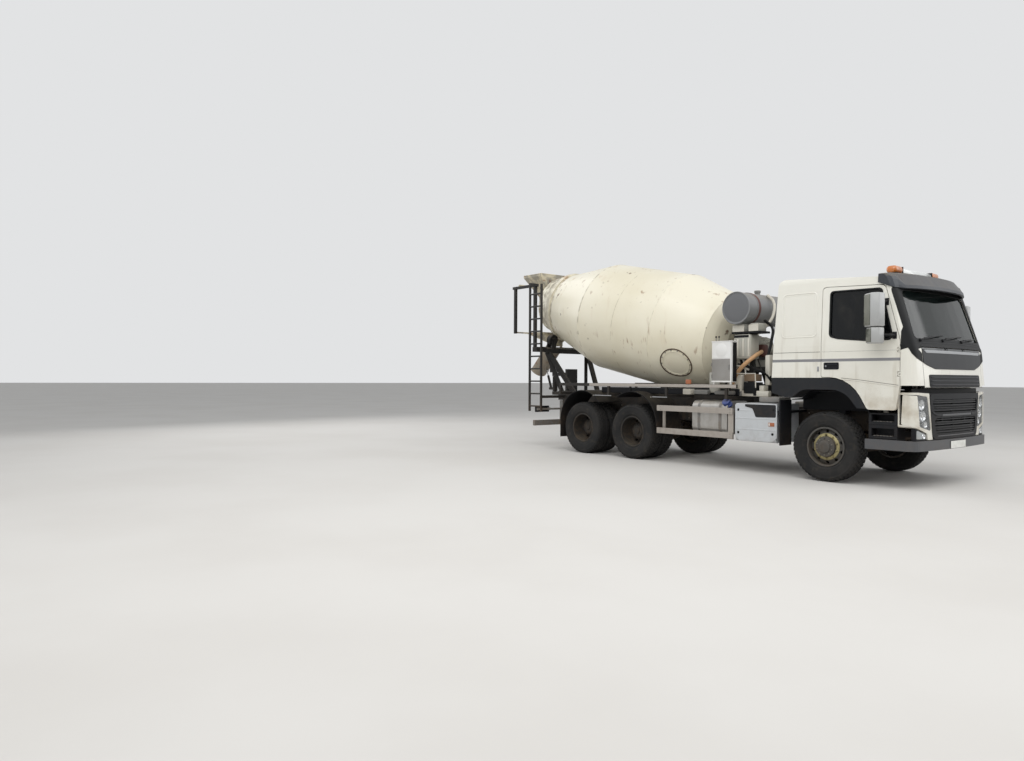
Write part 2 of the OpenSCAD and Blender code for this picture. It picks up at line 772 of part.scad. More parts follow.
// Feed hopper over the mouth, with its spout, and the funnel under the mouth
module hopper() {
    color([0.85, 0.84, 0.78]) from_axle() {
        difference() {
            hopper_cone(0, 0);
            hopper_cone(sheet_t, 1);
        }
        both_sides() box([-7760, hopper_neck[2] + 130, 3700 + seat_gap], [-7700, 930, 3740]);
        translate([-7780, 0, hopper_neck[3] + 60]) rotate([0, 115, 0]) difference() {
            cylinder(h = 760, r = 258);
            translate([0, 0, -1]) cylinder(h = 762, r = 258 - sheet_t);
            box([-300, -300, -2], [0, 300, 800]);
        }
        difference() {
            funnel_cone(0, 0);
            funnel_cone(sheet_t, 1);
        }
        difference() {
            translate([-swing_x, 0, funnel_z]) cylinder(h = 90, r = funnel_r);
            translate([-swing_x, 0, funnel_z - 1]) cylinder(h = 92, r = funnel_r - sheet_t);
        }
        both_sides() box([-7900, funnel_top[2] - 1, funnel_top[3] - 10],
            [-7840, 900 - seat_gap, funnel_top[3] + 20]);
    }
}

// The hopper as a solid, t inside its sheet and out ends past it by e
module hopper_cone(t, e) {
    hull() {
        box([hopper_rear + t, -hopper_half + t, hopper_top - 60], [hopper_front - t, hopper_half - t, hopper_top + e]);
        box([hopper_neck[0] + t, -hopper_neck[2] + t, hopper_neck[3] - e],
            [hopper_neck[1] - t, hopper_neck[2] - t, hopper_neck[3] + 10 + 2 * e]);
    }
}

module funnel_cone(t, e) {
    hull() {
        box([funnel_top[0] + t, -funnel_top[2] + t, funnel_top[3] + e],
            [funnel_top[1] - t, funnel_top[2] - t, funnel_top[3] + 20 + e]);
        translate([-swing_x, 0, funnel_z + 80 - e]) cylinder(h = 10, r = funnel_r - t, $fn = 32);
    }
}

funnel_z = 2320;

guard_bar_x = tow_jaw_x - tow_jaw_r - 12;

// Guard bar, with the lamps' brackets
module rear_bumper() {
    color([0.4, 0.4, 0.4]) from_axle() {
        box([guard_bar_x - 70, -1150, 480], [guard_bar_x, 1150, 600]);
        both_sides() {
            box([guard_bar_x - 1, rail_y - 70, 500], [-frame_rear, rail_y - 20, 1040]);
            box([-6840, rail_y - 21, 830], [-6780, 1080, 870]);
            box([-rear_lamp_x, 720, 820], [-6839, 760, 880]);
            box([-rear_lamp_x, 1040, 820], [-6839, 1080, 880]);
        }
    }
}

// The cab's floor and rear wall
module cab_tub() {
    color([0.85, 0.85, 0.83]) from_axle() difference() {
        intersection() {
            cab_shell();
            union() {
                box([-1000, -half_w + cab_wall, 1300], [door_rear - 20, half_w - cab_wall, cab_floor_z + cab_floor_t]);
                box([-1000, -half_w + cab_wall + 10, 1300],
                    [pillar_x, half_w - cab_wall - 10, cab_floor_z + cab_floor_t]);
                box([-1000, -half_w + cab_wall, 1300], [-cab_rear + 150, half_w - cab_wall, side_low + 1]);
                box([-1000, -half_w, side_low], [-cab_rear + 150, half_w, cab_top + 180]);
            }
        }
        roof_zone();
    }
    color([0.1, 0.1, 0.1]) from_axle() both_sides() tilt_arm();
}

arm_back = 450;

// Cranked arm from the tilt pin back and up to the cab's floor
module tilt_arm() {
    y = rail_y + 25;
    difference() {
        union() {
            translate([tilt_x, y + 45, tilt_z]) rotate([90, 0, 0]) cylinder(h = 45, r = 40);
            box([tilt_x - arm_back, y, tilt_z - 30], [tilt_x, y + 45, tilt_z + 30]);
            box([tilt_x - arm_back - 60, y, tilt_z - 30], [tilt_x - arm_back + 1, y + 45, cab_floor_z + 1]);
        }
        translate([tilt_x, y + 46, tilt_z]) rotate([90, 0, 0]) cylinder(h = 47, r = tilt_pin_r + run_gap);
    }
}

// The cab's sides with their door openings
module cab_sides() {
    color([0.88, 0.88, 0.85]) from_axle() difference() {
        cab_shell();
        roof_zone();
        front_zone();
        box([-1000, -half_w + cab_wall, 1300], [1500, half_w - cab_wall, cab_floor_z + cab_floor_t]);
        box([-1000, -half_w - 1, 1300], [-cab_rear + 150, half_w + 1, cab_top + 180]);
        box([-1000, -half_w - 1, 1300], [1500, half_w + 1, side_low]);
        side_prism(rounded(grown(door_outline, door_gap, door_mid)), -beside, beside);
    }
}

// The cab's roof
module cab_roof() {
    color([0.88, 0.88, 0.85]) from_axle() intersection() {
        cab_shell();
        roof_zone();
    }
}

// Edge of the windscreen's opening, on its own leaning plane
screen_high = cab_top - 2270;
screen_outline = [[125 - half_w, 25, 60], [195 - half_w, screen_high, 80], [half_w - 195, screen_high, 80],
    [half_w - 125, 25, 60]];

// Screen frame, front corners and bulkhead
module cab_front() {
    color([0.88, 0.88, 0.85]) from_axle() {
        difference() {
            intersection() {
                cab_shell();
                front_zone();
            }
            roof_zone();
            on_screen() front_prism(rounded(screen_outline), -400, 300);
            box([1000, -hatch_half - door_gap, 1300], [1500, hatch_half + door_gap, hatch_top + hatch_clear]);
            box([0, -beside, 1300], [pillar_x + 1, beside, cab_floor_z + cab_floor_t + 1]);
        }
        both_sides() {
            hatch_hinge();
            door_hinges();
        }
        box([pillar_x + seat_gap, -half_w + cab_wall + 1, cab_floor_z],
            [pillar_x + 40, half_w - cab_wall - 1, 2080]);
        difference() {
            intersection() {
                cab_solid(0, 0);
                box([pillar_x + 39, 65 - half_w, hatch_top + hatch_clear], [1400, half_w - 65, 2034]);
            }
            on_screen() front_prism(rounded(screen_outline), -400, 300);
        }
    }
}

// Windscreen
module windscreen() {
    color([0.1, 0.12, 0.13]) from_axle() intersection() {
        difference() {
            cab_solid(15, 15);
            cab_solid(15 + glass_t, 15);
        }
        on_screen() front_prism(rounded(grown(screen_outline, -seat_gap, [0, 400])), -400, 300);
    }
}

// How far the visor's edge lies back from its middle, and where its top begins, at places from the middle outward
visor_straight = half_w - 245;
visor_rows = [[0, 0, 905], [0.3, -10, 905], [0.45, -25, 905], [0.6, -50, 900], [0.7, -75, 895], [0.8, -108, 880],
    [0.9, -145, 865], [1, -183, 850]];
visor_edge = [[822, 2990], [822, 3055], [870, 3064], [890, 3056], [895, 2965]];
visor_corner = [[890, 3056], [975, 3003], [998, 2960], [1022, 2880], [1024, 2840], [985, 2835], [892, 2940]];
visor_turn = [[815, 2955], [825, 3055], [885, 3050], [952, 3003], [974, 2960], [996, 2880], [1002, 2842], [960, 2850]];
visor_ear = [[790, 2925], [796, 3045], [870, 3040], [905, 3003], [922, 2960], [955, 2890], [962, 2858], [905, 2893]];

module visor_slice(y, outline) {
    side_prism(outline, y, y + 1);
}

module visor_flap(row) {
    visor_slice(row[0] * visor_straight, [for (p = [[1120, 3050], [1250, 2880], [1258, 2836], [1228, 2826], [1125, 2930]])
        [p[0] + row[1], p[1]]]);
}

module visor_top(row) {
    visor_slice(row[0] * visor_straight, [[row[2], 2985], [row[2], 3062], [max(row[2] + 5, 1020 + row[1]), 3078], [1120 + row[1], 3050],
        [1105 + row[1], 2960]]);
}

// Visor over the windscreen, curved back to the cab's sides
module sun_visor() {
    color([0.16, 0.17, 0.18]) from_axle() difference() {
        both_sides() {
            for (i = [0:len(visor_rows) - 2]) {
                hull() {
                    visor_flap(visor_rows[i]);
                    visor_flap(visor_rows[i + 1]);
                }
                hull() {
                    visor_top(visor_rows[i]);
                    visor_top(visor_rows[i + 1]);
                }
            }
            hull() {
                visor_flap(visor_rows[len(visor_rows) - 1]);
                visor_slice(half_w - 145, visor_corner);
            }
            hull() {
                visor_top(visor_rows[len(visor_rows) - 1]);
                visor_slice(half_w - 145, visor_edge);
            }
            hull() {
                visor_slice(half_w - 145, visor_edge);
                visor_slice(half_w - 145, visor_corner);
                visor_slice(half_w - 70, visor_turn);
            }
            hull() {
                visor_slice(half_w - 70, visor_turn);
                visor_slice(half_w - 20, visor_ear);
            }
        }
        cab_solid(-seat_gap, -seat_gap);
    }
}

// Light bar on the roof, on two feet
module beacon_bar() {
    color([0.95, 0.5, 0.1]) from_axle() {
        side_prism(rounded([[660, beacon_z, 20], [670, beacon_z + 125, 45], [810, beacon_z + 125, 45],
            [820, beacon_z, 20]]), -beacon_half, beacon_half);
        both_sides() box([700, 400, roof_at(700) + seat_gap], [780, 460, beacon_z + 1]);
    }
}

beacon_z = 3095;
beacon_half = 740;

arch_y = 950;
arch_front_low = 1125;

// Arches over the front wheels
module wheel_arches() {
    outer = [[-640, 1262, 0], [-cab_rear + 4, 1325, 0], [-cab_rear + 4, side_low - 4, 20], [396, side_low - 4, 540],
        [637, arch_front_low, 0]];
    inner = [[505, arch_front_low, 0], [300, 1388, 380], [-350, 1388, 250], [-520, 1262, 0]];
    color([0.2, 0.21, 0.22]) from_axle() both_sides() difference() {
        side_prism(rounded(concat(outer, inner)), arch_y, half_w - 3);
        box([-1000, 0, cab_floor_z - seat_gap], [1000, half_w - cab_wall + seat_gap, 1700]);
        box([-1000, 0, 1100], [-560, half_w - 145, 1700]);
        box([380, 0, 1000], [1000, half_w - 53, 1240]);
        side_prism(rounded(grown(door_outline, door_gap - 1, door_mid)), 0, beside);
    }
}

seat_y = half_w - 685;

// Seats, bunk, dashboard and steering wheel
module cab_interior() {
    floor_z = cab_floor_z + cab_floor_t;
    color([0.2, 0.2, 0.22]) from_axle() {
        both_sides() {
            box([-50, seat_y - 210, floor_z], [300, seat_y + 190, 1800]);
            box([-100, seat_y - 240, 1799], [400, seat_y + 240, 1930]);
            strut([-60, seat_y, 1920], [-200, seat_y, 2600], 460, 110);
        }
        box([-750, 145 - half_w, floor_z], [-330, half_w - 145, 1900]);
        box([750, 95 - half_w, 1750], [pillar_x - 1, half_w - 95, 2060]);
        box([800, -300, floor_z], [pillar_x - 1, 300, 1751]);
        translate([640, -seat_y, 1960]) rotate([0, -55, 0]) difference() {
            cylinder(h = 30, r = 230);
            translate([0, 0, -1]) cylinder(h = 32, r = 205);
        }
        translate([640, -seat_y, 1960]) rotate([0, -55, 0]) {
            box([-210, -25, 5], [210, 25, 25]);
            translate([0, 0, -200]) cylinder(h = 210, r = 35);
        }
    }
}

// Hinged front panel under the windscreen
module front_hatch() {
    color([0.08, 0.08, 0.08]) from_axle() {
        difference() {
            intersection() {
                on_nose() difference() {
                    plan_prism(cab_plan(0, 0), -100, 700);
                    plan_prism(cab_plan(-45, 45, back = -2700), -101, 701);
                }
                box([1000, -hatch_half, hatch_bottom], [1500, hatch_half, hatch_top]);
            }
            both_sides() box([1200, hatch_eye_y - 50, hatch_top - 40], [1500, hatch_eye_y + 50, hatch_top + 1]);
        }
        both_sides() difference() {
            union() {
                translate([hatch_axis_x, hatch_eye_y + 15, hatch_top - 12]) rotate([90, 0, 0]) cylinder(h = 30, r = 12);
                box([hatch_axis_x - 12, hatch_eye_y - 15, hatch_top - 45],
                    [hatch_axis_x + 12, hatch_eye_y + 15, hatch_top - 12]);
            }
            translate([hatch_axis_x, hatch_eye_y + 16, hatch_top - 12]) rotate([90, 0, 0])
                cylinder(h = 32, r = hatch_pin_r + run_gap);
        }
    }
}

hatch_axis_x = 1322;
hatch_clear = 12;
hatch_eye_y = 300;
hatch_pin_r = 6;

door_axis = [1090, half_w - 10];
door_hinge_z = [1620, 1960];
door_pin_r = 6;

// Lugs and pins that a door hangs on
module door_hinges() {
    for (z = door_hinge_z) {
        for (low = [z - 30, z + 14]) {
            translate([door_axis.x, door_axis.y, low]) cylinder(h = 16, r = 10);
            box([door_axis.x, door_axis.y - 8, low], [pillar_x + 5, door_axis.y + 8, low + 16]);
        }
        translate([door_axis.x, door_axis.y, z - 30]) cylinder(h = 60, r = door_pin_r);
    }
}

// Notches for the lugs in a door, with the pin's bore between them
module door_hinge_space() {
    for (z = door_hinge_z) {
        for (low = [z - 36, z + 8]) box([door_axis.x - 16, door_axis.y - 16, low], [pillar_x, half_w + 1, low + 28]);
        translate([door_axis.x, door_axis.y, z - 20]) cylinder(h = 40, r = door_pin_r + run_gap);
    }
}

// Lugs and pins that the front panel hangs on
module hatch_hinge() {
    for (y = [hatch_eye_y - 40, hatch_eye_y + 20])
        box([hatch_axis_x - 12, y, hatch_top - 24], [hatch_axis_x + 8, y + 20, hatch_top + hatch_clear + 1]);
    translate([hatch_axis_x, hatch_eye_y + 21, hatch_top - 12]) rotate([90, 0, 0]) cylinder(h = 42, r = hatch_pin_r);
}

// One door, on the left; y is mirrored for the right
module door_panel() {
    difference() {
        intersection() {
            front_prism(cab_section(0), -1200, 1500);
            side_prism(rounded(door_outline), 0, beside);
        }
        front_prism(cab_section(cab_wall, low = 900), -1300, 1600);
        side_prism(rounded(window_outline), 0, beside);
        door_hinge_space();
    }
}

module door_l() { color([0.88, 0.88, 0.85]) from_axle() door_panel(); }
module door_r() { color([0.88, 0.88, 0.85]) from_axle() mirror([0, 1, 0]) door_panel(); }

module door_pane() {
    difference() {
        intersection() {
            front_prism(cab_section(20), -1200, 1500);
            side_prism(rounded(grown(window_outline, -seat_gap, window_mid)), 0, beside);
        }
        front_prism(cab_section(20 + glass_t, low = 900), -1300, 1600);
    }
}

module door_glass_l() { color([0.1, 0.12, 0.13]) from_axle() door_pane(); }
module door_glass_r() { color([0.1, 0.12, 0.13]) from_axle() mirror([0, 1, 0]) door_pane(); }

// A mirror on two arms, on the left
module mirror_unit() {
    plan_prism(rounded([for (p = [[700, 140, 30], [930, 110, 50], [1000, 185, 50], [975, 320, 50], [725, 345, 30]])
        p + [0, half_w, 0]]), 2040, 2750);
    box([960, half_w + 140, 2144], [1050, half_w + 172, 2176]);
    for (p = [[1034, 2160], [914, 2640]]) bar([p[0], half_w + 155, p[1]], [p[0], side_at(p[1]) + 4 * seat_gap, p[1]], 16);
}

module mirror_l() { color([0.85, 0.85, 0.85]) from_axle() mirror_unit(); }
module mirror_r() { color([0.85, 0.85, 0.85]) from_axle() mirror([0, 1, 0]) mirror_unit(); }

arm_z = eye_low - 5 - 45;
tie_pin_r = 12;

// Steering knuckle on the left: pin, yoke, spindle and steering arm
module knuckle() {
    translate([0, kingpin_y, arm_z]) {
        cylinder(h = eye_high + 50 - arm_z, r = kingpin_r);
        cylinder(h = 45, r = eye_r);
        translate([0, 0, eye_high + 5 - arm_z]) cylinder(h = 45, r = eye_r);
        for (z = [0, eye_high + 5 - arm_z]) translate([-50, 20, z]) cube([100, 65, 45]);
        translate([-50, 62, 0]) cube([100, 23, eye_high + 50 - arm_z]);
        difference() {
            union() {
                translate([-steer_arm, -30, 0]) cube([steer_arm, 60, 30]);
                translate([-steer_arm, 0, 0]) cylinder(h = 30, r = 35);
            }
            translate([-steer_arm, 0, -1]) cylinder(h = 32, r = tie_pin_r + run_gap);
        }
    }
    translate([0, kingpin_y + 84, axle_z]) rotate([-90, 0, 0]) cylinder(h = 150, r = hub_bore_r - 10);
    translate([0, kingpin_y + 70, axle_z]) rotate([-90, 0, 0]) cylinder(h = 20, r = 200);
}

module knuckle_l() { color([0.15, 0.15, 0.15]) from_axle() knuckle(); }
module knuckle_r() { color([0.15, 0.15, 0.15]) from_axle() mirror([0, 1, 0]) knuckle(); }

// Rod that ties the two steering arms
module tie_rod() {
    color([0.15, 0.15, 0.15]) from_axle() {
        bar([-steer_arm, -kingpin_y - 20, arm_z - 30], [-steer_arm, kingpin_y + 20, arm_z - 30], 20);
        both_sides() translate([-steer_arm, kingpin_y, arm_z - 35]) cylinder(h = 75, r = tie_pin_r);
    }
}

// Half outline of a tyre: radius and distance from its middle plane
tyre_half = [[bead_r + seat_gap, bead_half - seat_gap], [flange_r + 4, bead_half - seat_gap],
    [flange_r + 30, tyre_w / 2 - 18], [400, tyre_w / 2], [470, tyre_w / 2 - 5], [tyre_r - 22, tyre_w / 2 - 18],
    [tyre_r - 5, tyre_w / 2 - 30], [tyre_r, tyre_w / 2 - 50]];

// A tyre with its middle at y = 0
module tyre() {
    rotate([90, 0, 0]) rotate_extrude($fn = 64) polygon(concat(
        [for (p = tyre_half) [p[0], p[1]]],
        [for (k = [len(tyre_half) - 1:-1:0]) [tyre_half[k][0], -tyre_half[k][1]]]));
}

// A rim's barrel with its flanges, its middle at y = 0
module rim_barrel() {
    rotate([90, 0, 0]) rotate_extrude($fn = 64) polygon([
        [bead_r - 12, -bead_half - 10], [flange_r, -bead_half - 10], [flange_r, -bead_half], [bead_r, -bead_half],
        [bead_r, bead_half], [flange_r, bead_half], [flange_r, bead_half + 10], [bead_r - 12, bead_half + 10]]);
}

// A wheel disc as a turned profile of [radius, y], with hand holes; y points outwards
module disc(profile, hole_r, hole_at, count) {
    difference() {
        rotate([-90, 0, 0]) rotate_extrude($fn = 64) polygon(profile);
        for (k = [0:count - 1]) rotate([0, 360 / count * (k + 0.5), 0]) translate([hole_at, -400, 0])
            rotate([-90, 0, 0]) cylinder(h = 800, r = hole_r);
    }
}

// Front wheel on the left
module front_rim() {
    translate([0, wheel_y, axle_z]) {
        rim_barrel();
        disc([[hub_bore_r - 10 + run_gap, -75], [205, -75], [205, 60], [262, 30], [bead_r - 10, 0], [bead_r - 10, 14],
            [265, 48], [205, 76], [165, 80], [150, 140], [95, 150], [90, 168], [0, 168], [0, 85],
            [hub_bore_r - 10 + run_gap, 85]], 26, 236, 10);
    }
}

// Twin rear wheels on the left
module rear_rims(x) {
    translate([x, 0, axle_z]) {
        translate([0, wheel_y, 0]) rim_barrel();
        translate([0, wheel_y - twin_pitch, 0]) rim_barrel();
        translate([0, twin_mid_y, 0]) disc([[hub_bore_r + run_gap, -60], [120, -60], [120, -220], [225, -220],
            [225, -20], [262, -60], [bead_r - 10, -130], [bead_r - 10, -95], [262, -20], [240, 0],
            [262, 20], [bead_r - 10, 95], [bead_r - 10, 130], [262, 60], [235, 16], [165, 16], [150, 130], [110, 150],
            [0, 150], [0, 50], [hub_bore_r + run_gap, 50]], 26, 228, 10);
    }
}

module tyre_front_l() { color([0.08, 0.08, 0.08]) from_axle() translate([0, wheel_y, axle_z]) tyre(); }
module tyre_front_r() { color([0.08, 0.08, 0.08]) from_axle() translate([0, -wheel_y, axle_z]) tyre(); }
module rim_front_l() { color([0.5, 0.45, 0.3]) from_axle() front_rim(); }
module rim_front_r() { color([0.5, 0.45, 0.3]) from_axle() mirror([0, 1, 0]) front_rim(); }

module rear_tyres(x) {
    color([0.08, 0.08, 0.08]) from_axle() for (y = [wheel_y, wheel_y - twin_pitch])
        translate([x, y, axle_z]) tyre();
}

module rear_wheel(x) { color([0.2, 0.2, 0.2]) from_axle() rear_rims(x); }

module tyres_rear1_l() { rear_tyres(axle1_x); }
module tyres_rear1_r() { mirror([0, 1, 0]) rear_tyres(axle1_x); }
module tyres_rear2_l() { rear_tyres(axle2_x); }
module tyres_rear2_r() { mirror([0, 1, 0]) rear_tyres(axle2_x); }
module rims_rear1_l() { rear_wheel(axle1_x); }
module rims_rear1_r() { mirror([0, 1, 0]) rear_wheel(axle1_x); }
module rims_rear2_l() { rear_wheel(axle2_x); }
module rims_rear2_r() { mirror([0, 1, 0]) rear_wheel(axle2_x); }

barrel_s = front_cone_l + barrel_l;

// Mixing drum: dished head, front cone, barrel, rear cone and roller ring
module drum() {
    color([0.87, 0.84, 0.74]) from_axle() on_drum() {
        rotate_extrude($fn = 96) polygon([
            [0, head_s], [160, head_s], [160, head_s + 18], [430, head_s + 40], [680, -110], [seam_r, 0],
            [drum_r, front_cone_l], [drum_r, barrel_s], [mouth_r, mouth_s], [mouth_r - drum_t, mouth_s],
            [drum_r - drum_t, barrel_s - 2], [drum_r - drum_t, front_cone_l + 2], [seam_r - drum_t, 4],
            [680 - drum_t, -100], [430, head_s + 52], [0, head_s + 30]]);
        rotate_extrude($fn = 96) polygon([
            [ring_r - 55, ring_s - ring_w / 2], [ring_r, ring_s - ring_w / 2],
            [ring_r, ring_s + ring_w / 2], [ring_r - 58, ring_s + ring_w / 2]]);
    }
}

lug_low = 1150;
lug_high = 1600;
lug_h = 80;
hinge_z = 1950;
foot_x = -swing_x - 140;
foot_z = 1300;
pin_r = 15;

// Swinging post that carries the chute
module chute_arm() {
    color([0.2, 0.2, 0.2]) from_axle() {
        translate([-swing_x, 0, lug_low]) cylinder(h = lug_high + lug_h + 5 - lug_low, r = swing_pin_r);
        translate([-swing_x, 0, lug_low + lug_h + 5]) cylinder(h = lug_high - lug_low - lug_h - 10, r = 60);
        translate([-swing_x, 0, lug_high + lug_h + 5]) cylinder(h = 40, r = 90);
        box([hinge_x - 30, -100, lug_high + lug_h + 5], [hinge_x + 60, 100, lug_high + lug_h + 45]);
        both_sides() difference() {
            union() {
                box([hinge_x - 30, 75, lug_high + lug_h + 44], [hinge_x + 30, 100, hinge_z]);
                translate([hinge_x, 100, hinge_z]) rotate([90, 0, 0]) cylinder(h = 25, r = 30);
            }
            translate([hinge_x, 101, hinge_z]) rotate([90, 0, 0]) cylinder(h = 27, r = pin_r + run_gap);
        }
        both_sides() difference() {
            union() {
                box([foot_x, 35, foot_z - 30], [-swing_x - 20, 50, foot_z + 30]);
                translate([foot_x, 50, foot_z]) rotate([90, 0, 0]) cylinder(h = 15, r = 30);
            }
            translate([foot_x, 51, foot_z]) rotate([90, 0, 0]) cylinder(h = 17, r = 12 + run_gap);
        }
    }
}

ram_eye = [330, 20];

// Trough on its hinge, sloping down to the rear
module chute() {
    color([0.8, 0.78, 0.7]) from_axle() translate([hinge_x, 0, hinge_z]) rotate([0, 180 - chute_slope, 0])
        mirror([0, 0, 1]) {
            difference() {
                translate([-chute_head, 0, trough_mid]) rotate([0, 90, 0])
                    cylinder(h = chute_head + chute_tail, r = trough_r + trough_t);
                translate([-chute_head - 1, 0, trough_mid]) rotate([0, 90, 0])
                    cylinder(h = chute_head + chute_tail + 2, r = trough_r);
                box([-chute_head - 1, -400, trough_mid], [chute_tail + 1, 400, 800]);
            }
            difference() {
                union() {
                    box([-30, -70, 0], [30, 70, 60]);
                    translate([0, 70, 0]) rotate([90, 0, 0]) cylinder(h = 140, r = 30);
                    translate([0, 102, 0]) rotate([90, 0, 0]) cylinder(h = 204, r = pin_r);
                }
                translate([-chute_head - 1, 0, trough_mid]) rotate([0, 90, 0])
                    cylinder(h = chute_head + chute_tail + 2, r = trough_r + 1);
            }
            both_sides() difference() {
                translate([0, 26, 0]) box([ram_eye.x - 25, 0, -5], [ram_eye.x + 25, 12, 64]);
                translate([ram_eye.x, 40, ram_eye.y]) rotate([90, 0, 0]) cylinder(h = 20, r = 12);
            }
        }
}

ram_top = [hinge_x - ram_eye.x * cos(chute_slope) - ram_eye.y * sin(chute_slope),
    hinge_z - ram_eye.x * sin(chute_slope) + ram_eye.y * cos(chute_slope)];
ram_l = norm(ram_top - [foot_x, foot_z]);
ram_lean = atan2(ram_top.x - foot_x, ram_top.y - foot_z);
rod_r = 14;

// Puts what is drawn along Z on the ram's line
module on_ram() { translate([foot_x, 0, foot_z]) rotate([0, ram_lean, 0]) children(); }

// Barrel of the chute's ram
module ram_barrel() {
    color([0.25, 0.25, 0.25]) from_axle() on_ram() difference() {
        union() {
            cylinder(h = 330, r = 28);
            translate([0, 30, 0]) rotate([90, 0, 0]) cylinder(h = 60, r = 30);
            translate([0, 50, 0]) rotate([90, 0, 0]) cylinder(h = 100, r = 12);
        }
        translate([0, 0, 40]) cylinder(h = 300, r = rod_r + run_gap);
    }
}

// Rod of the chute's ram with its eye
module ram_rod() {
    color([0.7, 0.7, 0.72]) from_axle() on_ram() {
        translate([0, 0, 60]) cylinder(h = ram_l - 80, r = rod_r);
        difference() {
            translate([0, 20, ram_l]) rotate([90, 0, 0]) cylinder(h = 40, r = 26);
            translate([0, 21, ram_l]) rotate([90, 0, 0]) cylinder(h = 42, r = 13);
        }
    }
}

frame();
leaf_springs();
front_axle();
rear_axles();
engine();
bumper();
lower_grille();
lamp_surrounds();
lamps();
cab_steps();
tanks();
battery_box();
side_guards();
rear_mudguards();
exhaust();
subframe();
front_pedestal();
drum_gearbox();
water_tank();
control_box();
rear_pedestal();
hopper();
rear_bumper();
cab_tub();
cab_sides();
cab_roof();
cab_front();
windscreen();
sun_visor();
beacon_bar();
wheel_arches();
cab_interior();
front_hatch();
door_l();
door_r();
door_glass_l();
door_glass_r();
mirror_l();
mirror_r();
knuckle_l();
knuckle_r();
tie_rod();
tyre_front_l();
rim_front_l();
tyre_front_r();
rim_front_r();
tyres_rear1_l();
rims_rear1_l();
tyres_rear1_r();
rims_rear1_r();
tyres_rear2_l();
rims_rear2_l();
tyres_rear2_r();
rims_rear2_r();
drum();
chute_arm();
chute();
ram_barrel();
ram_rod();
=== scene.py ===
# Concrete mixer truck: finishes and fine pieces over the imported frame.
# Metres. Lengths along x in tables are counted from the front axle, as in the CAD source.
import math

import bpy
from mathutils import Matrix, Vector


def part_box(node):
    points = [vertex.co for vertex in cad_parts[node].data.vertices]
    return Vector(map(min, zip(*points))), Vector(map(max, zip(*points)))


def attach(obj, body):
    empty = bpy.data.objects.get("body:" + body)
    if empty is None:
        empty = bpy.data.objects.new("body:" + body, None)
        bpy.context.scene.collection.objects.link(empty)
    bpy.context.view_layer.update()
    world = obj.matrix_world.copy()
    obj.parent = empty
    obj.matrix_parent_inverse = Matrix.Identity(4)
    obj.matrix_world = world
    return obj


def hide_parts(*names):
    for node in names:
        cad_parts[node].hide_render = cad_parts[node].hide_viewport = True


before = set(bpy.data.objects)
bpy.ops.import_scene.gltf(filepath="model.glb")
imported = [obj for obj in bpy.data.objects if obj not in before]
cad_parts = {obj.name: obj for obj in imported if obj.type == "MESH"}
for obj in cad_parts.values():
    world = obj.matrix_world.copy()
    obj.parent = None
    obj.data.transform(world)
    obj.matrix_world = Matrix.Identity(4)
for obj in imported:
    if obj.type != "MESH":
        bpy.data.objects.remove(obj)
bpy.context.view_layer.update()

low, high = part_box("rim_front_l")
AXLE = (low[0] + high[0]) / 2
AXLE_Z = (low[2] + high[2]) / 2
REAR_AXLES = {"1": -3.91, "2": -5.28}
WHEEL_Y = 1.0625
TWIN = 0.345
# The cab's half width up to its shoulder, and the half width at the roof, ROOF_RISE above the shoulder
CAB_HALF, SHOULDER_Z, ROOF_HALF, ROOF_RISE = 1.245, 2.05, 1.185, 1.1
# Foot of the windscreen, ahead of the front axle and above the ground
SCREEN_X, SCREEN_Z = 1.315, 2.03


# Camera, from the fit to the photograph

def place_camera():
    yaw, pitch, roll, focal = 2.47716667, -0.00241344, 0.00497592, 735.843915
    ahead = Vector((math.cos(pitch) * math.cos(yaw), math.cos(pitch) * math.sin(yaw), math.sin(pitch)))
    right = Vector((math.sin(yaw), -math.cos(yaw), 0))
    up = right.cross(ahead)
    across = math.cos(roll) * right + math.sin(roll) * up
    upright = -math.sin(roll) * right + math.cos(roll) * up
    turn = Matrix((across, upright, -ahead)).transposed().to_4x4()
    bpy.ops.object.camera_add()
    camera = bpy.context.object
    camera.matrix_world = Matrix.Translation((AXLE + 5.8157, -11.7476, 1.5286)) @ turn
    camera.data.sensor_fit = "HORIZONTAL"
    camera.data.sensor_width = 36
    camera.data.lens = focal * 36 / 1024
    bpy.context.scene.camera = camera


# Shaders

def srgb(r, g, b):
    """A colour as seen on screen, 0 to 255, in linear values."""
    out = []
    for v in (r, g, b):
        v /= 255
        out.append(v / 12.92 if v <= 0.04045 else ((v + 0.055) / 1.055) ** 2.4)
    return (*out, 1)


class Wire:
    """An output socket of a finish; the operators add Math nodes."""

    def __init__(self, finish, socket):
        self.finish, self.socket = finish, socket

    def math(self, operation, *others, flip=False):
        values = [self, *others]
        if flip:
            values.reverse()
        return self.finish.node("ShaderNodeMath", {"operation": operation}, dict(enumerate(values)))

    def __add__(self, other): return self.math("ADD", other)
    def __radd__(self, other): return self.math("ADD", other)
    def __sub__(self, other): return self.math("SUBTRACT", other)
    def __rsub__(self, other): return self.math("SUBTRACT", other, flip=True)
    def __mul__(self, other): return self.math("MULTIPLY", other)
    def __rmul__(self, other): return self.math("MULTIPLY", other)
    def __gt__(self, other): return self.math("GREATER_THAN", other)
    def __lt__(self, other): return self.math("LESS_THAN", other)
    def __abs__(self): return self.math("ABSOLUTE")

    def smooth(self, start, end):
        """0 at start, 1 at end, smooth between."""
        return self.finish.node("ShaderNodeMapRange", {"interpolation_type": "SMOOTHSTEP"},
                                {0: self, 1: start, 2: end, 3: 0.0, 4: 1.0})

    def held(self):
        return self.finish.node("ShaderNodeClamp", {}, {0: self})


